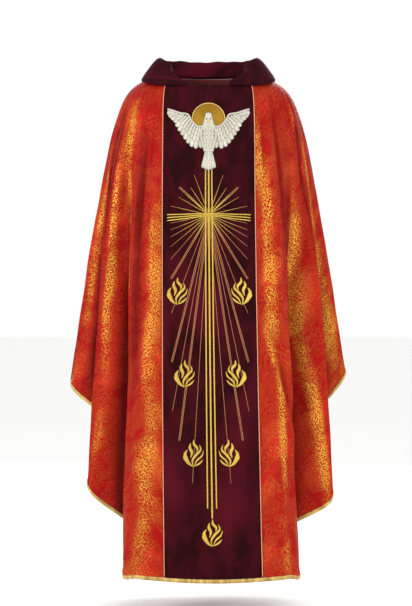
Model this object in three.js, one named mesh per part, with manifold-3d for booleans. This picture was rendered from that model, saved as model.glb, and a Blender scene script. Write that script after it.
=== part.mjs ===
// A Gothic chasuble with a wide fold-over collar, as it hangs on a wearer's shoulders with the arms down.
// Millimetres, +Z up, front facing -Y. The origin is the middle of the head opening, level with the shoulders.
//
// The cloth is one draped surface. A point on it has a station, which counts round the body, and a depth below
// the shoulders. Station 0 is the centre front, 9 the side on +X, 18 the centre back and -9 the side on -X.
// Every piece of the garment is a layer of that surface, at its own offset from the face of the cloth.

import * as THREE from "three";
import { mergeVertices } from "three/addons/utils/BufferGeometryUtils.js";
import Module from "manifold-3d";

const wasm = await Module();
wasm.setup();

// ---------------------------------------------------------------- driving sizes

const HALF_TURN = 18; // stations from the centre front to the centre back
const SIDE = 9; // the station of the shoulder seam
const ORPHREY_EDGE = 2; // the station where the velvet panel meets the brocade

const front = {
  length: 1242, // shoulder level to the hem at the centre front
  neckDrop: 36, // shoulder level to the straight edge of the neckline
};
const back = { length: 1253 };

const yoke = {
  neckHalfWidth: 105,
  shoulder: 85, // what the shoulders add to the half width
  shoulderDrop: 20, // how fast they round over
  sleeve: 34, // what the upper arms add
  sleeveDrop: 120,
  flare: 0.165, // widening per millimetre of depth
  neckHalfDepth: 80,
  chest: 75,
  chestDrop: 70,
  blades: 95,
  bladesDrop: 80,
  fall: 0.03, // how far front and back stand off per millimetre of depth
  squareness: 2.2, // 2 is an ellipse
};

const folds = {
  from: 30, // depth where the folds start
  full: 700, // depth where they are at their deepest
  measuredAt: 750, // the depth at which the stations below are given
  spread: 0.0002, // widening per millimetre below that depth
  lag: 3, // how much less the inner folds widen with depth than the outermost one
};

const orphrey = {
  halfWidth: 110,
  taper: 0.0065, // widening of each half per millimetre of depth
  neckTaper: 25, // how much narrower each half is at the neck
  neckTaperDrop: 22,
  lean: 12, // how far the front panel swings towards +X at its hem
};

const cloth = {
  brocade: 1.2,
  velvet: 1.6,
  interlining: 0.7,
  lining: 0.5,
  facing: 0.6,
  gap: 0.35, // air between two layers
};
const seamGap = 0.008; // in stations: half the gap between two panels
const binding = { width: 8, overhang: 1.5, thickness: 0.8 };
const edgeCord = { diameter: 2.6 };
const facing = { width: 45 };

const collar = {
  corner: 0.92, // station of its front end
  rise: 78, // front corner to the top of the roll
  riseOver: 1.6, // in stations: how soon it rises
  inset: 10, // the stand's foot, inside the neckline
  lift: 1.5, // and above it
  roll: 0.4, // where the roll stands, as a share of the way from the foot to the free edge
  clearance: 4.5, // between the fall's free edge and the cloth under it
  frontEdge: 40, // depth of the free edge at the front, the side and the back
  sideEdge: 19,
  backEdge: 43,
  velvet: 1.4,
  canvas: 0.7,
};

const thread = { laid: 0.45, raised: 0.9, padded: 1.3 }; // how thick the embroidery stands
const strand = { outer: 3.8, middle: 4.6, topSpacing: 7.5, bottomSpacing: 10.8 };
const arm = { margin: 10, droop: 7, endWidth: 4, endSpacing: 7.2, waistWidth: 2.5, waistSpacing: 3 };
const cross = { barDepth: 357, top: 246, margin: 24 };
const halo = { depth: 124, radius: 41, rim: 3, hub: 9 };
const wing = { root: 15, margin: 12 }; // where it leaves the body, and the velvet left beside its tip
const flame = { width: 52, height: 66, aboveHem: 120, tip: 1, besideCross: 3.8, margin: 7 };
const rays = { thin: 1.4, wide: 4.2, margin: 18, hub: 8 };

// The garment's outline in plan, one point to a station, where the folds are deepest: x outwards, y to the
// back, and how far the hem hangs above the front or back length there. Ridges and valleys take turns.
const leftPlan = [
  { x: 0, y: -185, up: 0 },
  { x: 57, y: -184, up: 1 },
  { x: 114, y: -180, up: 4 },
  { x: 166, y: -171, up: 9 },
  { x: 198, y: -140, up: 14 }, // front fold
  { x: 172, y: -82, up: 112 },
  { x: 284, y: -78, up: 222 }, // middle fold
  { x: 222, y: -22, up: 350 },
  { x: 345, y: -8, up: 474 }, // side fold
  { x: 240, y: 34, up: 556 },
  { x: 330, y: 82, up: 500 },
  { x: 224, y: 78, up: 372 },
  { x: 268, y: 140, up: 236 },
  { x: 174, y: 128, up: 120 },
  { x: 200, y: 184, up: 18 },
  { x: 166, y: 206, up: 10 },
  { x: 114, y: 216, up: 4 },
  { x: 57, y: 220, up: 1 },
  { x: 0, y: 222, up: 0 },
];
const rightPlan = leftPlan.map((point) => ({ ...point }));
Object.assign(rightPlan[4], { x: 194, y: -142 });
Object.assign(rightPlan[6], { x: 288, up: 196 });
Object.assign(rightPlan[7], { up: 336 });
Object.assign(rightPlan[8], { x: 343, up: 498 });
Object.assign(rightPlan[12], { x: 256, y: 148 });

// ---------------------------------------------------------------- the draped surface

const settle = (depth, over) => 1 - Math.exp(-depth / over);
const ease = (from, to, value) => THREE.MathUtils.smoothstep(value, from, to);

const halfWidthAt = (depth) =>
  yoke.neckHalfWidth +
  yoke.shoulder * settle(depth, yoke.shoulderDrop) +
  yoke.sleeve * settle(depth, yoke.sleeveDrop) +
  yoke.flare * depth;
const frontDepthAt = (depth) =>
  yoke.neckHalfDepth + yoke.chest * settle(depth, yoke.chestDrop) + yoke.fall * depth;
const backDepthAt = (depth) =>
  yoke.neckHalfDepth + yoke.blades * settle(depth, yoke.bladesDrop) + yoke.fall * depth;
const orphreyHalfWidthAt = (depth) =>
  orphrey.halfWidth +
  orphrey.taper * depth -
  orphrey.neckTaper * Math.exp(-depth / orphrey.neckTaperDrop);
const leanAt = (depth) => orphrey.lean * (depth / front.length) ** 2;

// A station brought into -18 to 18, as its side of the body and its distance from the centre front.
function sideOf(station) {
  const turn = 2 * HALF_TURN;
  const s = ((((station + HALF_TURN) % turn) + turn) % turn) - HALF_TURN;
  return { sign: s < 0 ? -1 : 1, from: Math.abs(s) };
}

// Where the cloth would be at a whole station and depth, as a point in plan.
function planPoint(station, depth) {
  const { sign, from } = sideOf(station);
  const atBack = from > SIDE;
  const along = atBack ? HALF_TURN - from : from;
  const width = halfWidthAt(depth);
  const reach = atBack ? backDepthAt(depth) : -frontDepthAt(depth);
  const edge = orphreyHalfWidthAt(depth);
  const round = ((along - ORPHREY_EDGE) / (SIDE - ORPHREY_EDGE)) * (Math.PI / 2);
  const onPanel = along <= ORPHREY_EDGE;
  const smoothX = onPanel
    ? (along / ORPHREY_EDGE) * edge
    : edge + (width - edge) * Math.sin(round);
  const rest = Math.max(0, 1 - (smoothX / width) ** yoke.squareness);
  const smoothY = reach * rest ** (1 / yoke.squareness);

  const folded = (sign < 0 ? leftPlan : rightPlan)[from];
  const widthThere = halfWidthAt(folds.measuredAt);
  const outmost = Math.max(0, folded.x - edge) / (widthThere - edge);
  const narrower = (halfWidthAt(Math.min(depth, folds.measuredAt)) - widthThere) * outmost ** folds.lag;
  const wider = 1 + folds.spread * Math.max(0, depth - folds.measuredAt);
  const deeper = reach / (atBack ? backDepthAt : frontDepthAt)(folds.measuredAt);
  const foldX = onPanel ? smoothX : (folded.x + narrower) * wider;
  const foldY = folded.y * Math.abs(deeper);

  const share = ease(folds.from, folds.full, depth);
  const swing = leanAt(depth) * (1 - ease(ORPHREY_EDGE, SIDE - 1, from));
  return {
    x: sign * THREE.MathUtils.lerp(smoothX, foldX, share) + swing,
    y: THREE.MathUtils.lerp(smoothY, foldY, share),
  };
}

// A smooth value between whole stations, from the four that are nearest.
function acrossStations(station, valueAt) {
  const first = Math.floor(station);
  const t = station - first;
  const [a, b, c, d] = [-1, 0, 1, 2].map((step) => valueAt(first + step));
  return (
    b +
    0.5 * t * (c - a + t * (2 * a - 5 * b + 4 * c - d + t * (3 * (b - c) + d - a)))
  );
}

function hemDepthAt(station) {
  return acrossStations(station, (whole) => {
    const { sign, from } = sideOf(whole);
    const length = THREE.MathUtils.lerp(front.length, back.length, ease(SIDE - 1, SIDE + 1, from));
    return length - (sign < 0 ? leftPlan : rightPlan)[from].up;
  });
}

const NECK_TURN = 2.6; // station where the neckline has risen to the shoulder
const neckDepthAt = (station) =>
  front.neckDrop * (1 - ease(collar.corner, NECK_TURN, sideOf(station).from));

function surfacePoint(station, depth) {
  return new THREE.Vector3(
    acrossStations(station, (whole) => planPoint(whole, depth).x),
    acrossStations(station, (whole) => planPoint(whole, depth).y),
    -depth,
  );
}

function surfaceNormal(station, depth) {
  const across = surfacePoint(station + 0.02, depth).sub(surfacePoint(station - 0.02, depth));
  const down = surfacePoint(station, depth + 0.5).sub(surfacePoint(station, depth - 0.5));
  return down.cross(across).normalize();
}

// Where the columns of points stand: three on each ridge of a fold, one in each valley.
const RIDGES = [4, 6, 8];
const RIDGE_STEP = 0.3;
const quarterStations = [
  ORPHREY_EDGE,
  ORPHREY_EDGE + 0.65,
  ORPHREY_EDGE + 1.25,
  ...RIDGES.flatMap((ridge) => [ridge - RIDGE_STEP, ridge, ridge + RIDGE_STEP, ridge + 1]),
];
const allStations = [-2, -1, 0, 1, 2].flatMap((turn) => {
  const across = [...quarterStations.map((station) => -station).reverse(), -1, 0, 1, ...quarterStations];
  return across.map((station) => turn * HALF_TURN + station);
});

// The way out of the cloth at a point. It is long enough to keep a layer's thickness on the flat faces
// between this column of points and the next ones.
const SHARPEST = 0.5;
function wayOut(station, depth) {
  const here = surfacePoint(station, depth);
  const down = surfacePoint(station, depth + 1).sub(here);
  const before = surfacePoint(allStations.findLast((other) => other < station - 0.1), depth);
  const after = surfacePoint(allStations.find((other) => other > station + 0.1), depth);
  const faceBefore = down.clone().cross(here.clone().sub(before)).normalize();
  const faceAfter = down.clone().cross(after.clone().sub(here)).normalize();
  const sharpness = Math.max(SHARPEST, 1 + faceBefore.dot(faceAfter));
  return faceBefore.add(faceAfter).divideScalar(sharpness);
}

const onCloth = (station, depth, offset) =>
  surfacePoint(station, depth).addScaledVector(wayOut(station, depth), offset);

// ---------------------------------------------------------------- solids

// count + 1 numbers from first to last.
const spaced = (first, last, count) =>
  Array.from({ length: count + 1 }, (_, i) => THREE.MathUtils.lerp(first, last, i / count));

// A closed solid through rings of points. Each ring is a strip: down one face and back up the other. The
// faces' squares are halved the same way, so that layers that lie on each other never cross.
function loft(rings) {
  const size = rings[0].length;
  const indices = [];
  for (let r = 0; r + 1 < rings.length; r++) {
    for (let i = 0; i < size; i++) {
      const [a, b] = [r * size + i, r * size + ((i + 1) % size)];
      const [c, d] = [a + size, b + size];
      if (i < size / 2) indices.push(a, c, b, b, c, d);
      else indices.push(a, c, d, a, d, b);
    }
  }
  const last = (rings.length - 1) * size;
  for (let i = 0; i + 1 < size / 2; i++) {
    const [a, b, c, d] = [i, i + 1, size - 2 - i, size - 1 - i];
    indices.push(a, b, c, a, c, d);
    indices.push(last + c, last + b, last + a, last + d, last + c, last + a);
  }
  const geometry = new THREE.BufferGeometry().setFromPoints(rings.flat());
  geometry.setIndex(indices);
  return facingOut(geometry);
}

function facingOut(geometry) {
  const at = geometry.getAttribute("position");
  const index = geometry.getIndex().array;
  const corner = (n) => new THREE.Vector3().fromBufferAttribute(at, index[n]);
  let volume = 0;
  for (let i = 0; i < index.length; i += 3) {
    volume += corner(i).dot(corner(i + 1).cross(corner(i + 2)));
  }
  if (volume < 0) geometry.setIndex([...index].reverse());
  return geometry;
}

const ROWS = 7;
const ROW_CROWDING = 1.4; // rows lie closer together at the shoulders

// The depths of the points down the cloth at a station. One row is the edge of the neck facing and one the
// upper edge of the hem binding.
function rowDepthsAt(station) {
  const neck = neckDepthAt(station);
  const hem = hemDepthAt(station);
  const [upper, lower] = [neck + facing.width, hem - binding.width];
  const body = spaced(0, 1, ROWS).map((t) => THREE.MathUtils.lerp(upper, lower, t ** ROW_CROWDING));
  return [neck, neck + facing.width / 2, ...body, hem];
}

// A layer of the cloth between two offsets.
function layer(columns, outside, inside, rowsAt = rowDepthsAt) {
  return loft(
    columns.map((station) => {
      const depths = rowsAt(station);
      return [
        ...depths.map((depth) => onCloth(station, depth, outside)),
        ...depths.map((depth) => onCloth(station, depth, inside)).reverse(),
      ];
    }),
  );
}

function toSolid(geometry) {
  const bare = geometry.clone();
  bare.deleteAttribute("normal");
  bare.deleteAttribute("uv");
  const merged = mergeVertices(bare, 1e-4);
  return new wasm.Manifold(
    new wasm.Mesh({
      numProp: 3,
      vertProperties: merged.getAttribute("position").array,
      triVerts: new Uint32Array(merged.getIndex().array),
    }),
  );
}

function toGeometry(solid) {
  const { vertProperties, triVerts } = solid.getMesh();
  const geometry = new THREE.BufferGeometry();
  geometry.setAttribute("position", new THREE.BufferAttribute(vertProperties, 3));
  return geometry.setIndex(new THREE.BufferAttribute(triVerts, 1));
}

// ---------------------------------------------------------------- materials

const finish = (color, roughness, metalness = 0) =>
  new THREE.MeshStandardMaterial({ color, roughness, metalness });
const materials = {
  brocade: finish(0xb8301a, 0.55, 0.15),
  velvet: finish(0x3f0b16, 0.9),
  satin: finish(0x8c1f18, 0.5),
  canvas: finish(0xd8cfb8, 0.95),
  goldBinding: finish(0xcf9f3c, 0.4, 0.4),
  goldThread: finish(0xc79a2e, 0.4, 0.6),
  silverThread: finish(0xcfcbb8, 0.45, 0.3),
};

const chasuble = new THREE.Group();
function add(name, geometry, material) {
  const mesh = new THREE.Mesh(geometry, material);
  mesh.name = name;
  chasuble.add(mesh);
}

// ---------------------------------------------------------------- panels, linings and facings

const PANEL_COLUMNS = 4;
const panelEdge = ORPHREY_EDGE - seamGap;
const brocadeEdge = ORPHREY_EDGE + seamGap;
const sideEdge = SIDE - seamGap;

// Columns of stations from the middle of the front or of the back. At the back the low side is on +X.
const panel = spaced(-panelEdge, panelEdge, PANEL_COLUMNS);
const highSide = [brocadeEdge, ...quarterStations.slice(1, -1), sideEdge];
const lowSide = highSide.map((station) => -station).reverse();
const wholeHalf = [...lowSide, ...panel.slice(1, -1), ...highSide];
const faced = wholeHalf.filter((station) => Math.abs(station) <= SIDE);
const halves = [
  { half: "front", middle: 0, low: "left", high: "right" },
  { half: "back", middle: HALF_TURN, low: "right", high: "left" },
];

// How far below the cloth's face each layer lies.
const interliningFace = -cloth.velvet - cloth.gap;
const liningFace = interliningFace - cloth.interlining - cloth.gap;
const liningBack = liningFace - cloth.lining;
const facingFace = liningBack - cloth.gap;

const facingRows = (station) => rowDepthsAt(station).slice(0, 3);
for (const { half, middle, low, high } of halves) {
  const from = (columns) => columns.map((station) => middle + station);
  const brocade = (columns) => layer(from(columns), 0, -cloth.brocade);
  add(`${half}_brocade_${low}`, brocade(lowSide), materials.brocade);
  add(`${half}_brocade_${high}`, brocade(highSide), materials.brocade);
  add(`${half}_orphrey`, layer(from(panel), 0, -cloth.velvet), materials.velvet);
  const interliningBack = interliningFace - cloth.interlining;
  add(`${half}_interlining`, layer(from(panel), interliningFace, interliningBack), materials.canvas);
  add(`${half}_lining`, layer(from(wholeHalf), liningFace, liningBack), materials.satin);
  const facingBack = facingFace - cloth.facing;
  add(`${half}_neck_facing`, layer(from(faced), facingFace, facingBack, facingRows), materials.satin);
}

// ---------------------------------------------------------------- hem binding and seam cords

// The binding is a strip over the face of the hem. It reaches a little below the cloth.
function bindingRing(station) {
  const hem = hemDepthAt(station);
  const [high, low] = [hem - binding.width, hem + binding.overhang];
  const [face, back] = [cloth.gap + binding.thickness, cloth.gap];
  return [
    onCloth(station, high, face),
    onCloth(station, low, face),
    onCloth(station, low, back),
    onCloth(station, high, back),
  ];
}

const CORD_SIDES = 6;
function seamCord(station) {
  const radius = edgeCord.diameter / 2;
  const rows = rowDepthsAt(station);
  const top = rows[0] + edgeCord.diameter;
  const bottom = rows.at(-2) - edgeCord.diameter;
  return loft(
    [top, ...rows.slice(1, -2), bottom].map((depth) => {
      const middle = onCloth(station, depth, cloth.gap + radius);
      const normal = surfaceNormal(station, depth);
      const across = surfacePoint(station + 0.02, depth).sub(surfacePoint(station, depth));
      across.normalize().multiplyScalar(radius);
      return spaced(0, 2 * Math.PI, CORD_SIDES)
        .slice(1)
        .map((angle) =>
          middle
            .clone()
            .addScaledVector(across, Math.cos(angle))
            .addScaledVector(normal, radius * Math.sin(angle)),
        );
    }),
  );
}

for (const { half, middle, low, high } of halves) {
  const columns = wholeHalf.map((station) => middle + station);
  add(`${half}_hem_binding`, loft(columns.map(bindingRing)), materials.goldBinding);
  add(`${half}_seam_cord_${low}`, seamCord(middle - ORPHREY_EDGE), materials.goldThread);
  add(`${half}_seam_cord_${high}`, seamCord(middle + ORPHREY_EDGE), materials.goldThread);
}

// ---------------------------------------------------------------- collar

const COLLAR_COLUMNS = 22;
const COLLAR_ROWS = 7;
const collarThickness = 2 * collar.velvet + collar.canvas + 2 * cloth.gap;

const freeEdgeDepthAt = (from) =>
  collar.frontEdge +
  (collar.sideEdge - collar.frontEdge) * ease(2.5, 8, from) +
  (collar.backEdge - collar.sideEdge) * ease(9.5, 16, from);
const rollHeightAt = (from) =>
  collar.rise * settle(from - collar.corner, collar.riseOver) - front.neckDrop;

// The arch of the collar at a station: up inside the neck, over the roll and down to its free edge.
function collarArch(station) {
  const { from } = sideOf(station);
  const neckDepth = neckDepthAt(station);
  const outward = surfaceNormal(station, neckDepth).setZ(0).normalize();
  const foot = surfacePoint(station, neckDepth).addScaledVector(outward, -collar.inset);
  foot.z += collar.lift;
  const edge = surfacePoint(station, freeEdgeDepthAt(from)).addScaledVector(
    surfaceNormal(station, freeEdgeDepthAt(from)),
    collarThickness + collar.clearance,
  );
  const highest = Math.max(rollHeightAt(from), Math.max(foot.z, edge.z) + 2 * collarThickness);
  const crest = foot.clone().lerp(edge, collar.roll).setZ(highest);
  const pull = crest.addScaledVector(foot, -1 / 8).addScaledVector(edge, -1 / 8).multiplyScalar(4 / 3);
  return new THREE.CubicBezierCurve3(foot, pull, pull.clone(), edge);
}

// One layer of the collar, so far under the face of the arch.
function collarLayer(under, thickness) {
  const firstStation = collar.corner + 0.06;
  const rings = spaced(firstStation, 2 * HALF_TURN - firstStation, COLLAR_COLUMNS).map((station) => {
    const arch = collarArch(station);
    const round = surfaceNormal(station, neckDepthAt(station)).setZ(0).cross(new THREE.Vector3(0, 0, 1));
    const inside = (share, distance) => {
      const across = arch.getTangent(share).cross(round).normalize();
      return arch.getPoint(share).addScaledVector(across, distance);
    };
    const shares = spaced(0, 1, COLLAR_ROWS);
    return [
      ...shares.map((share) => inside(share, under)),
      ...shares.map((share) => inside(share, under + thickness)).reverse(),
    ];
  });
  return loft(rings);
}

const canvasFace = collar.velvet + cloth.gap;
const underFace = canvasFace + collar.canvas + cloth.gap;
add("collar_top", collarLayer(0, collar.velvet), materials.velvet);
add("collar_interfacing", collarLayer(canvasFace, collar.canvas), materials.canvas);
add("collar_under", collarLayer(underFace, collar.velvet), materials.velvet);

// ---------------------------------------------------------------- embroidery

// The embroidery is cut from layers over the front panel. Its outlines are drawn flat, x from the panel's
// centre line and z up, and lean with the panel.
const laidFace = cloth.gap;
const raisedFace = laidFace + thread.laid + cloth.gap;
const overFace = raisedFace + thread.raised + cloth.gap;
const topFace = overFace + thread.raised + cloth.gap;

function prism(points, holes = []) {
  const lean = ([x, z]) => new THREE.Vector2(x + leanAt(-z), z);
  const shape = new THREE.Shape(points.map(lean));
  shape.holes = holes.map((hole) => new THREE.Path(hole.map(lean)));
  const depth = 2 * (frontDepthAt(front.length) + yoke.chest);
  const geometry = new THREE.ExtrudeGeometry(shape, { depth, bevelEnabled: false });
  return toSolid(geometry.rotateX(Math.PI / 2));
}

function embroidery(name, outline, face, thickness, material) {
  const sheet = toSolid(layer(panel, face + thickness, face));
  add(name, toGeometry(sheet.intersect(outline)), material);
}

const circle = (x, z, radius, sides) =>
  spaced(0, 2 * Math.PI, sides)
    .slice(1)
    .map((angle) => [x + radius * Math.cos(angle), z + radius * Math.sin(angle)]);
const bothSides = (half) => [...half, ...half.map(([x, z]) => [-x, z]).reverse()];

// Rays run out from the middle of the cross. Each has an angle from straight down and a length, or it runs
// to the margin of the panel.
const rayList = [
  { angle: 160.2, length: 103 },
  { angle: 146.7, length: 79 },
  { angle: 133.4, length: 98, wide: true },
  { angle: 120.7, length: 85 },
  { angle: 103.1 },
  { angle: 77.6 },
  { angle: 68.5 },
  { angle: 59.8 },
  { angle: 50.2 },
  { angle: 40.7 },
  { angle: 30.7, wide: true },
  { angle: 21.1 },
  { angle: 14.5, wide: true },
  { angle: 11 },
  { angle: 8, length: 550, wide: true },
  { angle: 4.1, length: 648 },
];

function rayPrism({ angle, length, wide }, side) {
  const radians = THREE.MathUtils.degToRad(angle);
  const [x, z] = [side * Math.sin(radians), -Math.cos(radians)];
  const reach = orphrey.halfWidth - rays.margin;
  const long = length ?? reach / Math.abs(x);
  const half = (wide ? rays.wide : rays.thin) / 2;
  return prism([
    [-z * half, x * half - cross.barDepth],
    [z * half, -x * half - cross.barDepth],
    [x * long + z * half, z * long - x * half - cross.barDepth],
    [x * long - z * half, z * long + x * half - cross.barDepth],
  ]);
}

const rayPrisms = rayList.flatMap((ray) => [rayPrism(ray, 1), rayPrism(ray, -1)]);
const rayHub = prism(circle(0, -cross.barDepth, rays.hub, 12));
const rayFan = rayPrisms.reduce((fan, ray) => fan.add(ray), rayHub);
embroidery("ray_fan", rayFan, laidFace, thread.laid, materials.goldThread);

// The cross: three upright strands and three across them. The arms are narrow where they cross.
const bottomFlame = front.length - flame.aboveHem;
const uprightEnd = bottomFlame - flame.height / 2 - flame.tip;
const spreadOfUprights = strand.bottomSpacing / strand.topSpacing;
const uprights = [
  { name: "left", x: -strand.topSpacing, bottom: uprightEnd - cross.margin, width: strand.outer },
  { name: "middle", x: 0, bottom: uprightEnd, width: strand.middle },
  { name: "right", x: strand.topSpacing, bottom: uprightEnd - cross.margin, width: strand.outer },
];
for (const { name, x, bottom, width } of uprights) {
  const outline = prism([
    [x - width / 2, -cross.top],
    [x + width / 2, -cross.top],
    [x * spreadOfUprights + width / 2, -bottom],
    [x * spreadOfUprights - width / 2, -bottom],
  ]);
  embroidery(`cross_upright_${name}`, outline, raisedFace, thread.raised, materials.goldThread);
}
const armReach = orphrey.halfWidth - arm.margin;
for (const [name, up] of [["upper", 1], ["middle", 0], ["lower", -1]]) {
  const waist = up * arm.waistSpacing - cross.barDepth;
  const end = up * arm.endSpacing - cross.barDepth - arm.droop;
  const outline = prism([
    [-armReach, end - arm.endWidth / 2],
    [0, waist - arm.waistWidth / 2],
    [armReach, end - arm.endWidth / 2],
    [armReach, end + arm.endWidth / 2],
    [0, waist + arm.waistWidth / 2],
    [-armReach, end + arm.endWidth / 2],
  ]);
  embroidery(`cross_arm_${name}`, outline, overFace, thread.raised, materials.goldThread);
}

// A flame is made of tongues that lick up from its foot. Each has a middle line, in shares of the flame's
// width and height, and a greatest width. The second and third rise from the sides of their neighbours.
const FLAME_FOOT = [0, -0.47];
const tongues = [
  { line: [FLAME_FOOT, [-0.3, -0.3], [-0.39, -0.06], [-0.28, 0.13]], width: 0.22 },
  { line: [[-0.22, -0.22], [-0.1, 0], [-0.17, 0.22], [-0.1, 0.37]], width: 0.15 },
  { line: [[0.16, -0.03], [0.16, 0.18], [0.02, 0.34], [0.02, 0.5]], width: 0.13 },
  { line: [FLAME_FOOT, [-0.05, -0.28], [0.14, -0.05], [0.34, 0.14], [0.26, 0.32]], width: 0.13 },
  { line: [FLAME_FOOT, [0.15, -0.27], [0.4, -0.08], [0.46, 0.1]], width: 0.1 },
  { line: [FLAME_FOOT, [0.28, -0.36], [0.44, -0.22]], width: 0.11 },
  { line: [[-0.3, -0.3], [-0.42, -0.22], [-0.48, -0.11]], width: 0.1 },
];
const TONGUE_STEPS = 3;
const TONGUE_ROOT = 0.45; // how wide a tongue starts, as a share of its greatest width
// Shares of the way down the cross, and of the way out from the cross to the panel's edge.
const flamePairs = [
  { name: "upper", share: 0.252, out: 1 },
  { name: "middle", share: 0.524, out: 0.5507 },
  { name: "lower", share: 0.786, out: 0 },
];
const innerFlame = strand.bottomSpacing + strand.outer / 2 + flame.besideCross + flame.width / 2;
const outerFlame = orphrey.halfWidth - flame.margin - flame.width / 2;
const flameDepth = (share) => THREE.MathUtils.lerp(cross.barDepth, uprightEnd, share);

function tonguePrism({ line, width }, place) {
  const curve = new THREE.SplineCurve(line.map(([x, z]) => new THREE.Vector2(x, z)));
  const side = (step, sign) => {
    const share = step / TONGUE_STEPS;
    const across = curve.getTangent(share).rotateAround(new THREE.Vector2(), Math.PI / 2);
    const half = (width / 2) * Math.max(TONGUE_ROOT * (1 - share), Math.sin(Math.PI * share));
    return place(curve.getPoint(share).addScaledVector(across, sign * half));
  };
  const steps = [...Array(TONGUE_STEPS).keys()];
  return prism([
    ...steps.map((step) => side(step, 1)),
    place(curve.getPoint(1)),
    ...steps.map((step) => side(step, -1)).reverse(),
  ]);
}

function addFlame(name, x, depth, turn) {
  const place = (at) => [x + turn * at.x * flame.width, at.y * flame.height - depth];
  const outline = tongues
    .map((tongue) => tonguePrism(tongue, place))
    .reduce((joined, tongue) => joined.add(tongue));
  embroidery(name, outline, raisedFace, thread.raised, materials.goldThread);
}
for (const { name, share, out } of flamePairs) {
  const x = THREE.MathUtils.lerp(innerFlame, outerFlame, out);
  addFlame(`flame_${name}_left`, -x, flameDepth(share), 1);
  addFlame(`flame_${name}_right`, x, flameDepth(share), -1);
}
addFlame("flame_bottom", 0, bottomFlame, 1);

// The halo and the dove. The dove's wings, tail and head meet its body edge to edge.
const haloRing = circle(0, -halo.depth, halo.radius - halo.rim - cloth.gap, 24);
const haloHub = circle(0, -halo.depth, halo.hub, 12).reverse();
embroidery("halo_disc", prism(haloRing, [haloHub]), raisedFace, thread.raised, materials.goldThread);
const rimOutside = circle(0, -halo.depth, halo.radius, 28);
const rimInside = circle(0, -halo.depth, halo.radius - halo.rim, 28).reverse();
embroidery("halo_rim", prism(rimOutside, [rimInside]), raisedFace, thread.padded, materials.goldThread);

const DOVE_TOP = halo.depth - 16; // the crown of the dove's head
const doveLine = (points) => points.map(([x, down]) => [x, -DOVE_TOP - down]);
const doveHead = doveLine(bothSides([[3.5, 0], [7.5, 5], [9, 14], [9.5, 24], [13, 33.5]]));
const doveBody = doveLine(bothSides([[14, 34.5], [19, 44], [18, 62], [15, 76], [11, 89]]));
const doveTail = doveLine(bothSides([[11, 90], [13, 108], [19, 132], [16, 140], [6, 144]]));
const WING_REACH = 98;
const wingStretch = (orphrey.halfWidth - wing.margin - wing.root) / (WING_REACH - wing.root);
const stretched = (points) => points.map(([x, down]) => [wing.root + (x - wing.root) * wingStretch, down]);
const doveWing = doveLine(stretched([
  [15.5, 34.5], [27, 34], [42, 19], [50, 5], [70, 1], [88, -6], [WING_REACH, -8], [97, 4], [88, 17], [80, 24],
  [76, 39], [67, 43], [66, 58], [56, 60], [53, 75], [42, 77], [38, 88], [26, 85], [16, 89], [13, 88],
  [17, 76], [20, 62], [21, 44],
]));
const birdPieces = {
  dove_head: doveHead,
  dove_body: doveBody,
  dove_tail: doveTail,
  dove_wing_right: doveWing,
  dove_wing_left: doveWing.map(([x, z]) => [-x, z]).reverse(),
};
for (const [name, outline] of Object.entries(birdPieces)) {
  embroidery(name, prism(outline), topFace, thread.padded, materials.silverThread);
}

export default chasuble;
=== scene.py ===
"""A Gothic chasuble as it hangs on a wearer: brocade halves, velvet panels and collar, and its embroidery.

The garment is one draped surface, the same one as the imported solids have. A place on it has a station,
which counts round the body, and a depth below the shoulders, in millimetres. Station 0 is the centre
front, 9 the side on +X, 18 the centre back and -9 the side on -X. Every piece is a layer of that surface.
"""

from __future__ import annotations

import logging
import math
from abc import ABC, abstractmethod
from collections.abc import Callable, Sequence
from dataclasses import dataclass, field
from enum import Enum

import bmesh
import bpy
import numpy as np
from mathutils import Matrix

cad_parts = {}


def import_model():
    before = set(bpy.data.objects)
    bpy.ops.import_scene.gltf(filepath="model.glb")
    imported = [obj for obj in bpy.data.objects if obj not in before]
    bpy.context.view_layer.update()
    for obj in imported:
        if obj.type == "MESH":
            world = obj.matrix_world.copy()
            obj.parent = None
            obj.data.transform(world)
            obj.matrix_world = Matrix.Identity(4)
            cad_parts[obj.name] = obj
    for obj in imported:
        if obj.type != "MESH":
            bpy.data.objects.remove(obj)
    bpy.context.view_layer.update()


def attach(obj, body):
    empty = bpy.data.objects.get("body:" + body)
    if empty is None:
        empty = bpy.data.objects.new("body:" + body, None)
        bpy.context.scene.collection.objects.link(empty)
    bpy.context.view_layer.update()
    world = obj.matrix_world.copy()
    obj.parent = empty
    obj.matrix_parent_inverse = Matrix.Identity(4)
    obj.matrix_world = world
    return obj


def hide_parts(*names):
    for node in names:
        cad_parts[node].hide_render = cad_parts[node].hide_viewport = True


LOG = logging.getLogger("chasuble")
MM = 0.001

Array = np.ndarray
Place = Callable[[Array, Array], tuple[Array, Array]]
Outline = Callable[[Array, Array], Array]

HALF_TURN = 18
SIDE_STATION = 9
PANEL_STATION = 2
SEAM_GAP = 0.008


class Half(Enum):
    """The front or the back of the garment, by the station of its middle."""

    FRONT = 0
    BACK = 18


class Hand(Enum):
    """The side of the garment, as its direction along X."""

    LEFT = -1
    RIGHT = 1


class Taper(Enum):
    """How a stitched strip widens and narrows along its length."""

    STRAND = "strand"
    TONGUE = "tongue"
    FEATHER = "feather"
    RAY = "ray"


# ---------------------------------------------------------------- the draped surface


def settle(depth: Array, over: float) -> Array:
    """Rise from 0 to 1, most of it within a few times over."""
    return 1 - np.exp(-depth / over)


def ease(start: float, end: float, value: Array) -> Array:
    """Rise smoothly from 0 at start to 1 at end."""
    share = np.clip((value - start) / (end - start), 0, 1)
    return share * share * (3 - 2 * share)


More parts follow.
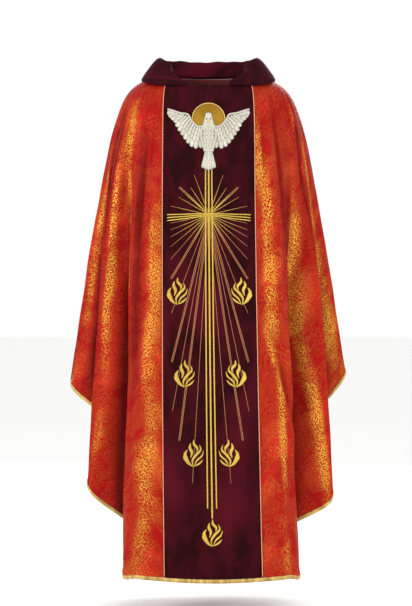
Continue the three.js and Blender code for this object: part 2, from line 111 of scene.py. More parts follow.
# The garment's outline in plan where the folds are deepest, station by station from the centre front to
# the centre back: x outwards, y to the back, and how far the hem hangs above the lowest point.
LEFT_PLAN = np.array(
    [
        (0, -185, 0),
        (57, -184, 1),
        (114, -180, 4),
        (166, -171, 9),
        (198, -140, 14),
        (172, -82, 112),
        (284, -78, 222),
        (222, -22, 350),
        (345, -8, 474),
        (240, 34, 556),
        (330, 82, 500),
        (224, 78, 372),
        (268, 140, 236),
        (174, 128, 120),
        (200, 184, 18),
        (166, 206, 10),
        (114, 216, 4),
        (57, 220, 1),
        (0, 222, 0),
    ],
    float,
)
RIGHT_PLAN = LEFT_PLAN.copy()
RIGHT_PLAN[4] = (194, -142, 14)
RIGHT_PLAN[6] = (288, -78, 196)
RIGHT_PLAN[7] = (222, -22, 336)
RIGHT_PLAN[8] = (343, -8, 498)
RIGHT_PLAN[12] = (256, 148, 236)
PLANS = np.stack([LEFT_PLAN, RIGHT_PLAN])


@dataclass(frozen=True)
class Crease:
    """A soft ridge, or with a negative height a valley, along a line of (station, depth) points."""

    line: tuple[tuple[float, float], ...]
    height: float
    spread: float

    def relief(self, station: Array, depth: Array) -> Array:
        """Height of the crease at places on the cloth.

        Args:
            station: Stations, from -18 to 18.
            depth: Depths in millimetres.

        Returns:
            Millimetres out of the cloth.
        """
        stations, depths = np.array(self.line).T
        middle = np.interp(depth, depths, stations)
        fade = 0.16 * (depths[-1] - depths[0]) + 30
        alive = ease(depths[0] - fade, depths[0] + fade, depth)
        alive = alive * (1 - ease(depths[-1] - fade, depths[-1] + fade, depth))
        return self.height * alive * np.exp(-(((station - middle) / self.spread) ** 2))


@dataclass(frozen=True)
class Ripple:
    """A wave over the cloth: how often it repeats per station and per metre of depth."""

    per_station: float
    per_metre: float
    phase: float
    height: float


@dataclass(frozen=True)
class Drape:
    """The hanging surface of the garment, in millimetres."""

    front_length: float = 1242
    back_length: float = 1253
    neck_drop: float = 36
    neck_turn: float = 2.6
    neck_half_width: float = 105
    neck_half_depth: float = 80
    shoulder: float = 85
    shoulder_drop: float = 20
    sleeve: float = 34
    sleeve_drop: float = 120
    flare: float = 0.165
    chest: float = 75
    chest_drop: float = 70
    blades: float = 95
    blades_drop: float = 80
    fall: float = 0.03
    squareness: float = 2.2
    folds_from: float = 30
    folds_full: float = 700
    folds_measured_at: float = 750
    folds_spread: float = 0.0002
    folds_lag: float = 3
    panel_half_width: float = 110
    panel_taper: float = 0.0065
    panel_neck_taper: float = 25
    panel_neck_taper_drop: float = 22
    panel_lean: float = 12
    collar_corner: float = 0.92
    creases: tuple[Crease, ...] = (
        Crease(((-2.3, 290), (-2.5, 600), (-3.0, 830), (-3.4, 1080)), 8, 0.3),
        Crease(((-3.3, 260), (-3.4, 520), (-3.5, 760)), -9, 0.28),
        Crease(((-4.4, 60), (-4.6, 250)), 8, 0.36),
        Crease(((-4.6, 250), (-4.9, 500)), 6, 0.18),
        Crease(((-5.0, 60), (-5.15, 330)), -5, 0.25),
        Crease(((-5.4, 180), (-5.6, 330), (-5.75, 500)), 8, 0.26),
        Crease(((-6.5, 110), (-6.8, 220), (-7.0, 420)), -10, 0.3),
        Crease(((-7.2, 90), (-7.3, 285), (-7.7, 450)), 8, 0.26),
        Crease(((-7.5, 480), (-7.6, 820)), 6, 0.2),
        Crease(((-5.5, 540), (-5.65, 920)), 7, 0.14),
        Crease(((-4.6, 560), (-4.5, 1000)), 6, 0.2),
        Crease(((2.3, 120), (2.3, 260)), 6, 0.25),
        Crease(((3.0, 220), (3.1, 420), (3.3, 592), (3.85, 790)), 9, 0.3),
        Crease(((2.15, 560), (2.9, 700), (3.9, 850)), -8, 0.2),
        Crease(((2.5, 660), (3.1, 780), (3.95, 900)), 7, 0.2),
        Crease(((2.6, 880), (3.0, 1240)), 7, 0.3),
        Crease(((3.9, 90), (3.8, 420)), -6, 0.3),
        Crease(((4.95, 290), (5.1, 480)), 8, 0.22),
        Crease(((6.05, 60), (5.95, 150)), 6, 0.16),
        Crease(((6.6, 80), (6.0, 230), (5.7, 360), (5.6, 470)), -10, 0.26),
        Crease(((7.1, 190), (7.2, 350), (7.45, 480)), 9, 0.26),
        Crease(((7.55, 500), (7.65, 700)), 6, 0.2),
        Crease(((5.45, 520), (5.6, 800), (5.7, 960)), 7, 0.14),
        Crease(((15.6, 260), (15.1, 800), (14.7, 1080)), 8, 0.32),
        Crease(((14.7, 260), (14.6, 760)), -8, 0.3),
        Crease(((13.5, 80), (13.3, 420)), 7, 0.3),
        Crease(((12.3, 120), (12.1, 460)), 8, 0.3),
        Crease(((11.4, 110), (11.3, 420)), -9, 0.28),
        Crease(((-15.3, 300), (-15.0, 760), (-14.8, 1080)), 8, 0.32),
        Crease(((-14.6, 240), (-14.5, 700)), -8, 0.3),
        Crease(((-13.4, 60), (-13.3, 380)), 7, 0.3),
        Crease(((-12.2, 100), (-12.0, 440)), 8, 0.3),
        Crease(((-11.5, 110), (-11.4, 430)), -9, 0.28),
    )
    # Where the brocade's gold shines and, with a negative height, where its folds go dark. This is drawn
    # in the cloth's colour, so it stays where it is in any light. Heights are shares, not millimetres.
    glints: tuple[Crease, ...] = (
        Crease(((-4.9, 95), (-4.9, 240)), 0.9, 0.42),
        Crease(((-4.5, 260), (-4.1, 400), (-3.85, 500), (-3.8, 570)), 0.75, 0.13),
        Crease(((-5.65, 215), (-5.6, 460), (-5.75, 600), (-5.75, 700)), 0.75, 0.12),
        Crease(((-7.3, 200), (-7.55, 360), (-7.65, 460), (-7.68, 620)), 0.75, 0.12),
        Crease(((-2.3, 330), (-2.3, 560), (-2.75, 690), (-2.45, 860)), 0.55, 0.4),
        Crease(((-2.45, 860), (-2.9, 990), (-2.6, 1080), (-3.3, 1200)), 0.55, 0.45),
        Crease(((-5.8, 840), (-5.85, 960)), 0.5, 0.14),
        Crease(((-5.97, 130), (-5.97, 860)), -1.2, 0.15),
        Crease(((-6.5, 130), (-7.05, 300), (-7.38, 500), (-7.46, 780)), -1.5, 0.19),
        Crease(((-3.3, 150), (-3.4, 500), (-3.5, 800)), -0.6, 0.5),
        Crease(((-5.15, 520), (-5.27, 700), (-5.2, 1280)), -1.2, 0.22),
        Crease(((2.15, 150), (2.2, 290)), 0.9, 0.3),
        Crease(((2.6, 265), (2.6, 450), (2.75, 640)), 0.8, 0.26),
        Crease(((5.25, 316), (5.25, 620)), 0.85, 0.23),
        Crease(((5.4, 625), (5.65, 805), (5.77, 950), (5.8, 1040)), 0.8, 0.11),
        Crease(((6.9, 200), (7.25, 346), (7.4, 430), (7.6, 600), (7.7, 710)), 0.85, 0.18),
        Crease(((6.0, 80), (5.95, 140)), 0.8, 0.16),
        Crease(((2.4, 640), (3.05, 755), (3.1, 860), (3.05, 1000)), 0.8, 0.2),
        Crease(((3.0, 1120), (3.0, 1230)), 0.4, 0.18),
        Crease(((5.97, 130), (5.97, 860)), -0.9, 0.11),
        Crease(((6.5, 130), (6.98, 300), (7.25, 500), (7.4, 780)), -0.8, 0.14),
        Crease(((3.95, 190), (4.0, 470), (4.0, 1000)), -0.5, 0.2),
        Crease(((5.15, 700), (5.2, 1100)), -0.6, 0.16),
    )
    ripples: tuple[Ripple, ...] = (
        Ripple(0.62, 0.7, 0.4, 1.5),
        Ripple(0.97, -1.2, 2.1, 1.1),
        Ripple(1.7, 2.3, 4.4, 0.7),
        Ripple(2.9, -4.1, 1.3, 0.35),
        Ripple(1.1, 8.7, 5.2, 0.3),
    )

    def half_width(self, depth: Array) -> Array:
        """Half the garment's width at a depth."""
        return (
            self.neck_half_width
            + self.shoulder * settle(depth, self.shoulder_drop)
            + self.sleeve * settle(depth, self.sleeve_drop)
            + self.flare * depth
        )

    def front_reach(self, depth: Array) -> Array:
        """How far the centre front stands before the origin."""
        return self.neck_half_depth + self.chest * settle(depth, self.chest_drop) + self.fall * depth

    def back_reach(self, depth: Array) -> Array:
        """How far the centre back stands behind the origin."""
        return self.neck_half_depth + self.blades * settle(depth, self.blades_drop) + self.fall * depth

    def panel_edge(self, depth: Array) -> Array:
        """Half the width of the velvet panels at a depth."""
        neck = self.panel_neck_taper * np.exp(-depth / self.panel_neck_taper_drop)
        return self.panel_half_width + self.panel_taper * depth - neck

    def _plan(self, whole: Array, depth: Array) -> Array:
        """Place the cloth in plan at whole stations.

        Args:
            whole: Whole stations, any turn.
            depth: Depths, of the same shape.

        Returns:
            x and y, stacked in the last axis.
        """
        turn = 2 * HALF_TURN
        station = (whole + HALF_TURN) % turn - HALF_TURN
        outward = np.where(station < 0, -1.0, 1.0)
        away = np.abs(station).astype(int)
        at_back = away > SIDE_STATION
        along = np.where(at_back, HALF_TURN - away, away)
        width = self.half_width(depth)
        reach = np.where(at_back, self.back_reach(depth), -self.front_reach(depth))
        edge = self.panel_edge(depth)
        angle = (along - PANEL_STATION) / (SIDE_STATION - PANEL_STATION) * math.pi / 2
        on_panel = along <= PANEL_STATION
        smooth_x = np.where(on_panel, along / PANEL_STATION * edge, edge + (width - edge) * np.sin(angle))
        rest = np.maximum(0, 1 - (smooth_x / width) ** self.squareness)
        smooth_y = reach * rest ** (1 / self.squareness)

        folded = PLANS[(station >= 0).astype(int), away]
        at = np.array(self.folds_measured_at)
        width_there = self.half_width(at)
        outmost = np.maximum(0, folded[..., 0] - edge) / (width_there - edge)
        narrower = (self.half_width(np.minimum(depth, at)) - width_there) * outmost**self.folds_lag
        wider = 1 + self.folds_spread * np.maximum(0, depth - at)
        deepest = np.where(at_back, self.back_reach(at), self.front_reach(at))
        fold_x = np.where(on_panel, smooth_x, (folded[..., 0] + narrower) * wider)
        fold_y = folded[..., 1] * np.abs(reach) / deepest

        share = ease(self.folds_from, self.folds_full, depth)
        lean = self.panel_lean * (depth / self.front_length) ** 2
        swing = lean * (1 - ease(PANEL_STATION, SIDE_STATION - 1, away.astype(float)))
        x = outward * (smooth_x + (fold_x - smooth_x) * share) + swing
        return np.stack([x, smooth_y + (fold_y - smooth_y) * share], axis=-1)

    @staticmethod
    def _across(station: Array, value_at: Callable[[Array], Array]) -> Array:
        """Blend smoothly between the values at the four nearest whole stations."""
        first = np.floor(station)
        t = station - first
        a, b, c, d = (value_at(first + step) for step in (-1, 0, 1, 2))
        t = t.reshape(t.shape + (1,) * (b.ndim - t.ndim))
        return b + 0.5 * t * (c - a + t * (2 * a - 5 * b + 4 * c - d + t * (3 * (b - c) + d - a)))

    def surface(self, station: Array, depth: Array) -> Array:
        """Points of the bare surface, x, y and z in the last axis."""
        plan = self._across(station, lambda whole: self._plan(whole, depth))
        return np.concatenate([plan, -depth[..., None]], axis=-1)

    def hem(self, station: Array) -> Array:
        """Depth of the hem at each station."""

        def at_whole(whole: Array) -> Array:
            """Depth of the hem at whole stations."""
            turned = (whole + HALF_TURN) % (2 * HALF_TURN) - HALF_TURN
            away = np.abs(turned)
            share = ease(SIDE_STATION - 1, SIDE_STATION + 1, away)
            length = self.front_length + (self.back_length - self.front_length) * share
            return length - PLANS[(turned >= 0).astype(int), away.astype(int), 2]

        return self._across(station, at_whole)

    def neck(self, station: Array) -> Array:
        """Depth of the neckline at each station."""
        return self.neck_drop * (1 - ease(self.collar_corner, self.neck_turn, folded_back(station)))

    def normal(self, station: Array, depth: Array) -> Array:
        """Unit vectors out of the cloth."""
        across = self.surface(station + 0.02, depth) - self.surface(station - 0.02, depth)
        down = self.surface(station, depth + 0.5) - self.surface(station, depth - 0.5)
        out = np.cross(down, across)
        return out / np.linalg.norm(out, axis=-1, keepdims=True)

    def relief(self, station: Array, depth: Array) -> Array:
        """How far small folds and ripples lift the cloth off the bare surface."""
        turned = (station + HALF_TURN) % (2 * HALF_TURN) - HALF_TURN
        beside = np.minimum(np.abs(turned), HALF_TURN - np.abs(turned))
        loose = ease(0.6, PANEL_STATION + 1.2, beside) * 0.85 + 0.15
        below_yoke = ease(25, 190, depth)
        waves = sum(
            wave.height
            * np.sin(math.tau * (wave.per_station * turned + wave.per_metre * depth * MM) + wave.phase)
            for wave in self.ripples
        )
        creases = sum(crease.relief(turned, depth) for crease in self.creases)
        return below_yoke * loose * waves + ease(20, 90, depth) * creases

    def glint(self, station: Array, depth: Array) -> Array:
        """How bright the cloth is drawn: below 0 in a dark fold, up to 1. The back repeats the front."""
        turned = (station + HALF_TURN) % (2 * HALF_TURN) - HALF_TURN
        from_back = np.sign(turned) * (HALF_TURN - np.abs(turned))
        nearest = np.where(np.abs(turned) <= SIDE_STATION, turned, from_back)
        return sum(line.relief(nearest, depth) for line in self.glints)

    def place(self, station: Array, depth: Array, offset: Array | float) -> Array:
        """Points on the cloth.

        Args:
            station: Stations.
            depth: Depths in millimetres.
            offset: Millimetres out of the cloth's face.

        Returns:
            Points in millimetres.
        """
        lift = np.asarray(offset) + self.relief(station, depth)
        return self.surface(station, depth) + self.normal(station, depth) * lift[..., None]

    def on_panel(self, x: Array, down: Array, lift: Array | float) -> Array:
        """Points over the front panel, from x off its centre line and the depth."""
        station = x / self.panel_edge(down) * PANEL_STATION
        return self.place(station, down, lift)


def folded_back(station: Array) -> Array:
    """Distance of a station from the centre front, round either side."""
    return np.abs((station + HALF_TURN) % (2 * HALF_TURN) - HALF_TURN)


DRAPE = Drape()


# ---------------------------------------------------------------- meshes


class MeshMaker:
    """Gathers grids into one mesh, each moved to its place and given flat coordinates for its cloth."""

    def __init__(self) -> None:
        """Start an empty mesh."""
        self.bm = bmesh.new()
        self.flat = self.bm.loops.layers.uv.new("flat")
        self.rim = self.bm.verts.layers.float.new("rim")
        self.tint = self.bm.verts.layers.float.new("tint")

    def grid(self, across: int, along: int, place: Place, rim: Outline | None = None, tint: float = 0.5) -> None:
        """Add a grid.

        Args:
            across: Faces from side to side.
            along: Faces from end to end.
            place: Takes shares across and along, and gives points in millimetres and flat coordinates
                in metres.
            rim: Takes the same shares, and gives how near each point is to the outline, from 0 to 1.
            tint: From 0 to 1, how light this grid is among its neighbours.
        """
        first_face = len(self.bm.faces)
        made = bmesh.ops.create_grid(self.bm, x_segments=across, y_segments=along, size=1.0)["verts"]
        shares = np.array([vert.co[:2] for vert in made]) / 2 + 0.5
        points, flat = place(shares[:, 0], shares[:, 1])
        rims = rim(shares[:, 0], shares[:, 1]) if rim else np.zeros(len(made))
        flat_of = {}
        for vert, point, where, near in zip(made, (points * MM).tolist(), flat.tolist(), rims.tolist()):
            vert.co = point
            vert[self.rim] = near
            vert[self.tint] = tint
            flat_of[vert] = where
        self.bm.faces.ensure_lookup_table()
        for face in self.bm.faces[first_face:]:
            face.smooth = True
            for loop in face.loops:
                loop[self.flat].uv = flat_of[loop.vert]

    def weld(self, distance: float = 0.01) -> None:
        """Join points that lie within a distance in millimetres, and close the ends that stay open."""
        bmesh.ops.remove_doubles(self.bm, verts=self.bm.verts[:], dist=distance * MM)
        rims = [edge for edge in self.bm.edges if edge.is_boundary]
        if rims:
            bmesh.ops.holes_fill(self.bm, edges=rims, sides=0)

    def finish(self, name: str, material: bpy.types.Material) -> bpy.types.Object:
        """Turn the gathered grids into an object.

        Args:
            name: The piece's name.
            material: Its finish.

        Returns:
            The object, at the origin.
        """
        mesh = bpy.data.meshes.new(name)
        self.bm.to_mesh(mesh)
        self.bm.free()
        mesh.materials.append(material)
        piece = bpy.data.objects.new(name, mesh)
        bpy.context.scene.collection.objects.link(piece)
        return piece


def thicken(piece: bpy.types.Object, thickness: float) -> None:
    """Give a piece its thickness in millimetres, behind its face."""
    wall = piece.modifiers.new("thickness", "SOLIDIFY")
    wall.thickness = thickness * MM
    wall.offset = -1


def smooth_line(points: Sequence[tuple[float, float]], shares: Array) -> tuple[Array, Array]:
    """Run a smooth line through points.

    Args:
        points: At least two points in the plane.
        shares: Where to read the line, from 0 to 1.

    Returns:
        The places, and unit vectors to the right of the line there.
    """
    known = np.array(points, float)

    def at(share: Array) -> Array:
        """Read the line."""
        place = np.clip(share, 0, 1) * (len(known) - 1)
        first = np.minimum(place.astype(int), len(known) - 2)
        t = (place - first)[:, None]
        a, b, c, d = (known[np.clip(first + step, 0, len(known) - 1)] for step in (-1, 0, 1, 2))
        return b + 0.5 * t * (c - a + t * (2 * a - 5 * b + 4 * c - d + t * (3 * (b - c) + d - a)))

    ahead = at(np.minimum(shares + 0.01, 1)) - at(np.maximum(shares - 0.01, 0))
    ahead /= np.linalg.norm(ahead, axis=1, keepdims=True)
    return at(shares), np.stack([ahead[:, 1], -ahead[:, 0]], axis=1)


# ---------------------------------------------------------------- finishes

Socket = bpy.types.NodeSocket


def linear(hex_colour: str) -> tuple[float, float, float, float]:
    """Turn an sRGB hex colour into linear red, green, blue and alpha."""
    parts = [int(hex_colour[i : i + 2], 16) / 255 for i in (1, 3, 5)]
    red, green, blue = (c / 12.92 if c <= 0.04045 else ((c + 0.055) / 1.055) ** 2.4 for c in parts)
    return red, green, blue, 1.0


def add_node(
    tree: bpy.types.NodeTree,
    kind: str,
    settings: dict[str, object] | None = None,
    inputs: dict[str | int, object] | None = None,
) -> bpy.types.Node:
    """Add a node with its settings and what feeds it.

    Args:
        tree: The node tree.
        kind: The node's type, without its ShaderNode prefix.
        settings: Properties of the node.
        inputs: For each input, by name or number, a value or the socket that it is linked to.

    Returns:
        The node.
    """
    node = tree.nodes.new("ShaderNode" + kind)
    for name, value in (settings or {}).items():
        setattr(node, name, value)
    for key, value in (inputs or {}).items():
        if isinstance(value, bpy.types.NodeSocket):
            tree.links.new(value, node.inputs[key])
        else:
            node.inputs[key].default_value = value
    return node


@dataclass(frozen=True)
class Finish(ABC):
    """A finish, made once as a material."""

    name: str

    def material(self) -> bpy.types.Material:
        """Give the finish as a material, made on first use."""
        made = bpy.data.materials.get(self.name)
        if made is None:
            made = bpy.data.materials.new(self.name)
            made.use_nodes = True
            made.node_tree.nodes.clear()
            shader = self.shade(made.node_tree)
            add_node(made.node_tree, "OutputMaterial", None, {"Surface": shader.outputs[0]})
        return made

    @abstractmethod
    def shade(self, tree: bpy.types.NodeTree) -> bpy.types.Node:
        """Build the shader and return its node."""

    @staticmethod
    def maths(tree: bpy.types.NodeTree, operation: str, *values: object) -> Socket:
        """Work out one number from others."""
        return add_node(tree, "Math", {"operation": operation}, dict(enumerate(values))).outputs[0]

    @staticmethod
    def blend(tree: bpy.types.NodeTree, share: object, first: object, second: object) -> Socket:
        """Mix two colours."""
        node = add_node(tree, "Mix", {"data_type": "RGBA"}, {0: share, 6: first, 7: second})
        return node.outputs[2]

    @staticmethod
    def limits(tree: bpy.types.NodeTree, value: Socket, low: float, high: float) -> Socket:
        """Rise smoothly from 0 where value is low to 1 where it is high."""
        settings = {"interpolation_type": "SMOOTHSTEP"}
        return add_node(tree, "MapRange", settings, {0: value, 1: low, 2: high}).outputs[0]

    @staticmethod
    def bump(tree: bpy.types.NodeTree, height: Socket, depth: float, strength: float = 1) -> Socket:
        """Raise the surface by a height from 0 to 1, over a depth in millimetres."""
        inputs = {"Height": height, "Distance": depth * MM, "Strength": strength}
        return add_node(tree, "Bump", None, inputs).outputs[0]


@dataclass(frozen=True)
class SilkBrocade(Finish):
    """Red silk satin brocaded in fine gold lamella with scrolls and paisleys.

    The eye sees bright specks of flat metal thread in bands down the folds, red satin between them, and
    deep red in the hollows. These bands are a painted highlight, the deep red of the hollows and flanks is
    painted shade, and the satin's lighter patches are painted sheen, all drawn in the colour from the crest
    mark and the shade mark that each layer carries.
    """

    silk: str = "#9a0d08"
    # Painted sheen: the colour of the satin's lighter patches.
    silk_bright: str = "#b41614"
    # Painted shade: the colour of the silk in hollows and on flanks.
    silk_in_painted_shade: str = "#4e0302"
    figured: str = "#a83e18"
    gold: str = "#d6a03a"
    line: str = "#740805"
    figure: float = 120
    scroll: float = 26
    fleck: float = 4.0

    def shade(self, tree: bpy.types.NodeTree) -> bpy.types.Node:
        """Build the shader and return its node."""
        flat = add_node(tree, "TexCoord").outputs["UV"]
        waver = add_node(tree, "TexNoise", {"noise_dimensions": "2D"}, {"Vector": flat, "Scale": 13.0, "Detail": 2.0})
        centred = add_node(
            tree, "VectorMath", {"operation": "SUBTRACT"}, {0: waver.outputs["Color"], 1: (0.5, 0.5, 0.5)}
        )
        warped = add_node(
            tree, "VectorMath", {"operation": "MULTIPLY_ADD"}, {0: centred.outputs[0], 1: (0.06, 0.06, 0), 2: flat}
        ).outputs[0]
        figure = self.maths(tree, "MAXIMUM", self._paisley(tree, warped), self._scrolls(tree, warped))
        # These two marks carry the painted highlight of gold and the painted shade of the silk.
        crest = add_node(tree, "Attribute", {"attribute_name": "crest"}).outputs["Fac"]
        hollow = add_node(tree, "Attribute", {"attribute_name": "hollow"}).outputs["Fac"]
        cloud = add_node(tree, "TexNoise", None, {"Vector": flat, "Scale": 9.0, "Detail": 2.0}).outputs[0]
        fleck = add_node(
            tree,
            "TexVoronoi",
            {"voronoi_dimensions": "2D", "feature": "F1"},
            {"Vector": flat, "Scale": 1 / (self.fleck * MM), "Randomness": 1.0},
        ).outputs["Distance"]
        flecked = self.limits(tree, fleck, 0.6, 0.25)
        # Painted highlight: the gold thread only shows where the crest mark and a noise lift it.
        lit = self.limits(tree, self.maths(tree, "MULTIPLY_ADD", cloud, 0.9, crest), 0.5, 1.3)
        thread = self.maths(tree, "MULTIPLY", flecked, self.maths(tree, "MULTIPLY_ADD", figure, 0.6, 0.4))
        shine = self.maths(tree, "MULTIPLY", thread, lit)
        # Painted sheen: lighter satin where the noise is high; the painted shade is laid over it next.
        satin = self.blend(tree, self.limits(tree, cloud, 0.5, 0.66), linear(self.silk), linear(self.silk_bright))
        silk = self.blend(tree, hollow, satin, linear(self.silk_in_painted_shade))
        woven = self.maths(tree, "MULTIPLY", figure, self.maths(tree, "MULTIPLY_ADD", hollow, -0.45, 0.45))
        dull = self.blend(tree, woven, silk, linear(self.figured))
        lined = self.blend(tree, self.maths(tree, "MULTIPLY", self._veins(tree, warped), 0.45), dull, linear(self.line))
        height = self.maths(tree, "MULTIPLY_ADD", figure, 0.6, self.maths(tree, "MULTIPLY", flecked, 0.4))
        return add_node(
            tree,
            "BsdfPrincipled",
            None,
            {
                "Base Color": self.blend(tree, shine, lined, linear(self.gold)),
                "Metallic": self.maths(tree, "MULTIPLY_ADD", shine, 0.4, 0.1),
                "Roughness": self.maths(tree, "MULTIPLY_ADD", thread, -0.12, 0.5),
                "Specular IOR Level": 0.07,
                "Normal": self.bump(tree, height, 0.5, 0.9),
            },
        )

    def _paisley(self, tree: bpy.types.NodeTree, flat: Socket) -> Socket:
        """Draw large nested figures, one to a cell of the cloth, with petals round them."""
        cells = add_node(
            tree,
            "TexVoronoi",
            {"voronoi_dimensions": "2D", "feature": "F1"},
            {"Vector": flat, "Scale": 1 / (self.figure * MM), "Randomness": 0.72},
        )
        away = add_node(tree, "VectorMath", {"operation": "SUBTRACT"}, {0: flat, 1: cells.outputs["Position"]})
        parts = add_node(tree, "SeparateXYZ", None, {0: away.outputs[0]})
        angle = self.maths(tree, "ARCTAN2", parts.outputs[1], parts.outputs[0])
        turn = add_node(tree, "SeparateXYZ", None, {0: cells.outputs["Color"]}).outputs[0]
        turned = self.maths(tree, "MULTIPLY_ADD", turn, 6.3, self.maths(tree, "MULTIPLY", angle, 5.0))
        reach = self.maths(tree, "MULTIPLY_ADD", self.maths(tree, "COSINE", turned), 0.1, 0.42)
        nested = self.maths(tree, "DIVIDE", cells.outputs["Distance"], reach)
        spiral = self.maths(tree, "MULTIPLY_ADD", nested, 44.0, angle)
        rings = self.maths(tree, "SINE", spiral)
        inside = self.limits(tree, nested, 1.0, 0.9)
        return self.maths(tree, "MULTIPLY", self.limits(tree, rings, -0.9, -0.2), inside)

    def _scrolls(self, tree: bpy.types.NodeTree, flat: Socket) -> Socket:
        """Draw curling stems that fill the ground between the figures."""
        stems = add_node(
            tree,
            "TexVoronoi",
            {"voronoi_dimensions": "2D", "feature": "SMOOTH_F1"},
            {"Vector": flat, "Scale": 1 / (self.scroll * MM), "Randomness": 1.0, "Smoothness": 0.3},
        ).outputs["Distance"]
        curls = self.maths(tree, "SINE", self.maths(tree, "MULTIPLY", stems, 22.0))
        patches = add_node(tree, "TexNoise", None, {"Vector": flat, "Scale": 24.0, "Detail": 1.0}).outputs[0]
        kept = self.limits(tree, patches, 0.4, 0.5)
        return self.maths(tree, "MULTIPLY", self.limits(tree, curls, -0.4, 0.2), kept)

    def _veins(self, tree: bpy.types.NodeTree, flat: Socket) -> Socket:
        """Draw the fine dark outlines between the figures."""
        veins = add_node(
            tree,
            "TexVoronoi",
            {"voronoi_dimensions": "2D", "feature": "DISTANCE_TO_EDGE"},
            {"Vector": flat, "Scale": 1 / (0.5 * self.scroll * MM), "Randomness": 1.0},
        ).outputs["Distance"]
        return self.limits(tree, veins, 0.09, 0.03)


@dataclass(frozen=True)
class CottonVelvet(Finish):
    """Cut-pile cotton velvet: dark where one looks into the pile, with a purple bloom at grazing angles and painted
    sheen in broad lighter patches.
    """

    pile: str = "#200307"
    brushed: str = "#38060f"
    # Painted sheen: the colour of the broad lighter patches.
    painted_sheen_patch: str = "#520b1b"
    bloom: str = "#7a2c48"

    def shade(self, tree: bpy.types.NodeTree) -> bpy.types.Node:
        """Build the shader and return its node."""
        flat = add_node(tree, "TexCoord").outputs["UV"]
        stretched = add_node(tree, "Mapping", None, {"Vector": flat, "Scale": (1.0, 0.45, 1.0)}).outputs[0]
        strokes = add_node(
            tree, "TexNoise", None, {"Vector": stretched, "Scale": 26.0, "Detail": 4.0, "Roughness": 0.6}
        )
        pile = add_node(tree, "TexNoise", None, {"Vector": flat, "Scale": 900.0, "Detail": 1.0}).outputs[0]
        brushed = self.limits(tree, strokes.outputs[0], 0.36, 0.66)
        # Painted sheen: broad patches where the velvet is drawn lighter.
        broad = add_node(tree, "TexNoise", None, {"Vector": stretched, "Scale": 5.0, "Detail": 1.0}).outputs[0]
        painted_sheen_share = self.maths(tree, "MULTIPLY", self.limits(tree, broad, 0.5, 0.68), 0.75)
        dark = self.blend(tree, brushed, linear(self.pile), linear(self.brushed))
        return add_node(
            tree,
            "BsdfPrincipled",
            None,
            {
                "Base Color": self.blend(tree, painted_sheen_share, dark, linear(self.painted_sheen_patch)),
                "Roughness": 0.95,
                "Specular IOR Level": 0.08,
                "Sheen Weight": 0.22,
                "Sheen Roughness": 0.4,
                "Sheen Tint": linear(self.bloom),
                "Normal": self.bump(tree, pile, 0.35, 0.6),
            },
        )


@dataclass(frozen=True)
class WovenCloth(Finish):
    """A plain or satin weave: fine crossed threads, dull in linen and glossy in satin."""

    colour: str
    shade_colour: str
    roughness: float
    thread: float = 1.4
    sheen: float = 0.1
    metallic: float = 0.0

    def shade(self, tree: bpy.types.NodeTree) -> bpy.types.Node:
        """Build the shader and return its node."""
        flat = add_node(tree, "TexCoord").outputs["UV"]
        scale = math.tau / 20 / (self.thread * MM)
        warp, weft = (
            add_node(
                tree, "TexWave", {"bands_direction": way}, {"Vector": flat, "Scale": scale, "Distortion": 0.6}
            ).outputs["Fac"]
            for way in ("X", "Y")
        )
        weave = self.maths(tree, "MULTIPLY", warp, weft)
        cloud = add_node(tree, "TexNoise", None, {"Vector": flat, "Scale": 30.0, "Detail": 3.0}).outputs[0]
        mixed = self.maths(tree, "MULTIPLY_ADD", weave, 0.3, self.limits(tree, cloud, 0.3, 0.8))
        return add_node(
            tree,
            "BsdfPrincipled",
            None,
            {
                "Base Color": self.blend(tree, mixed, linear(self.shade_colour), linear(self.colour)),
                "Metallic": self.metallic,
                "Roughness": self.roughness,
                "Sheen Weight": self.sheen,
                "Normal": self.bump(tree, weave, 0.2, 0.7),
            },
        )


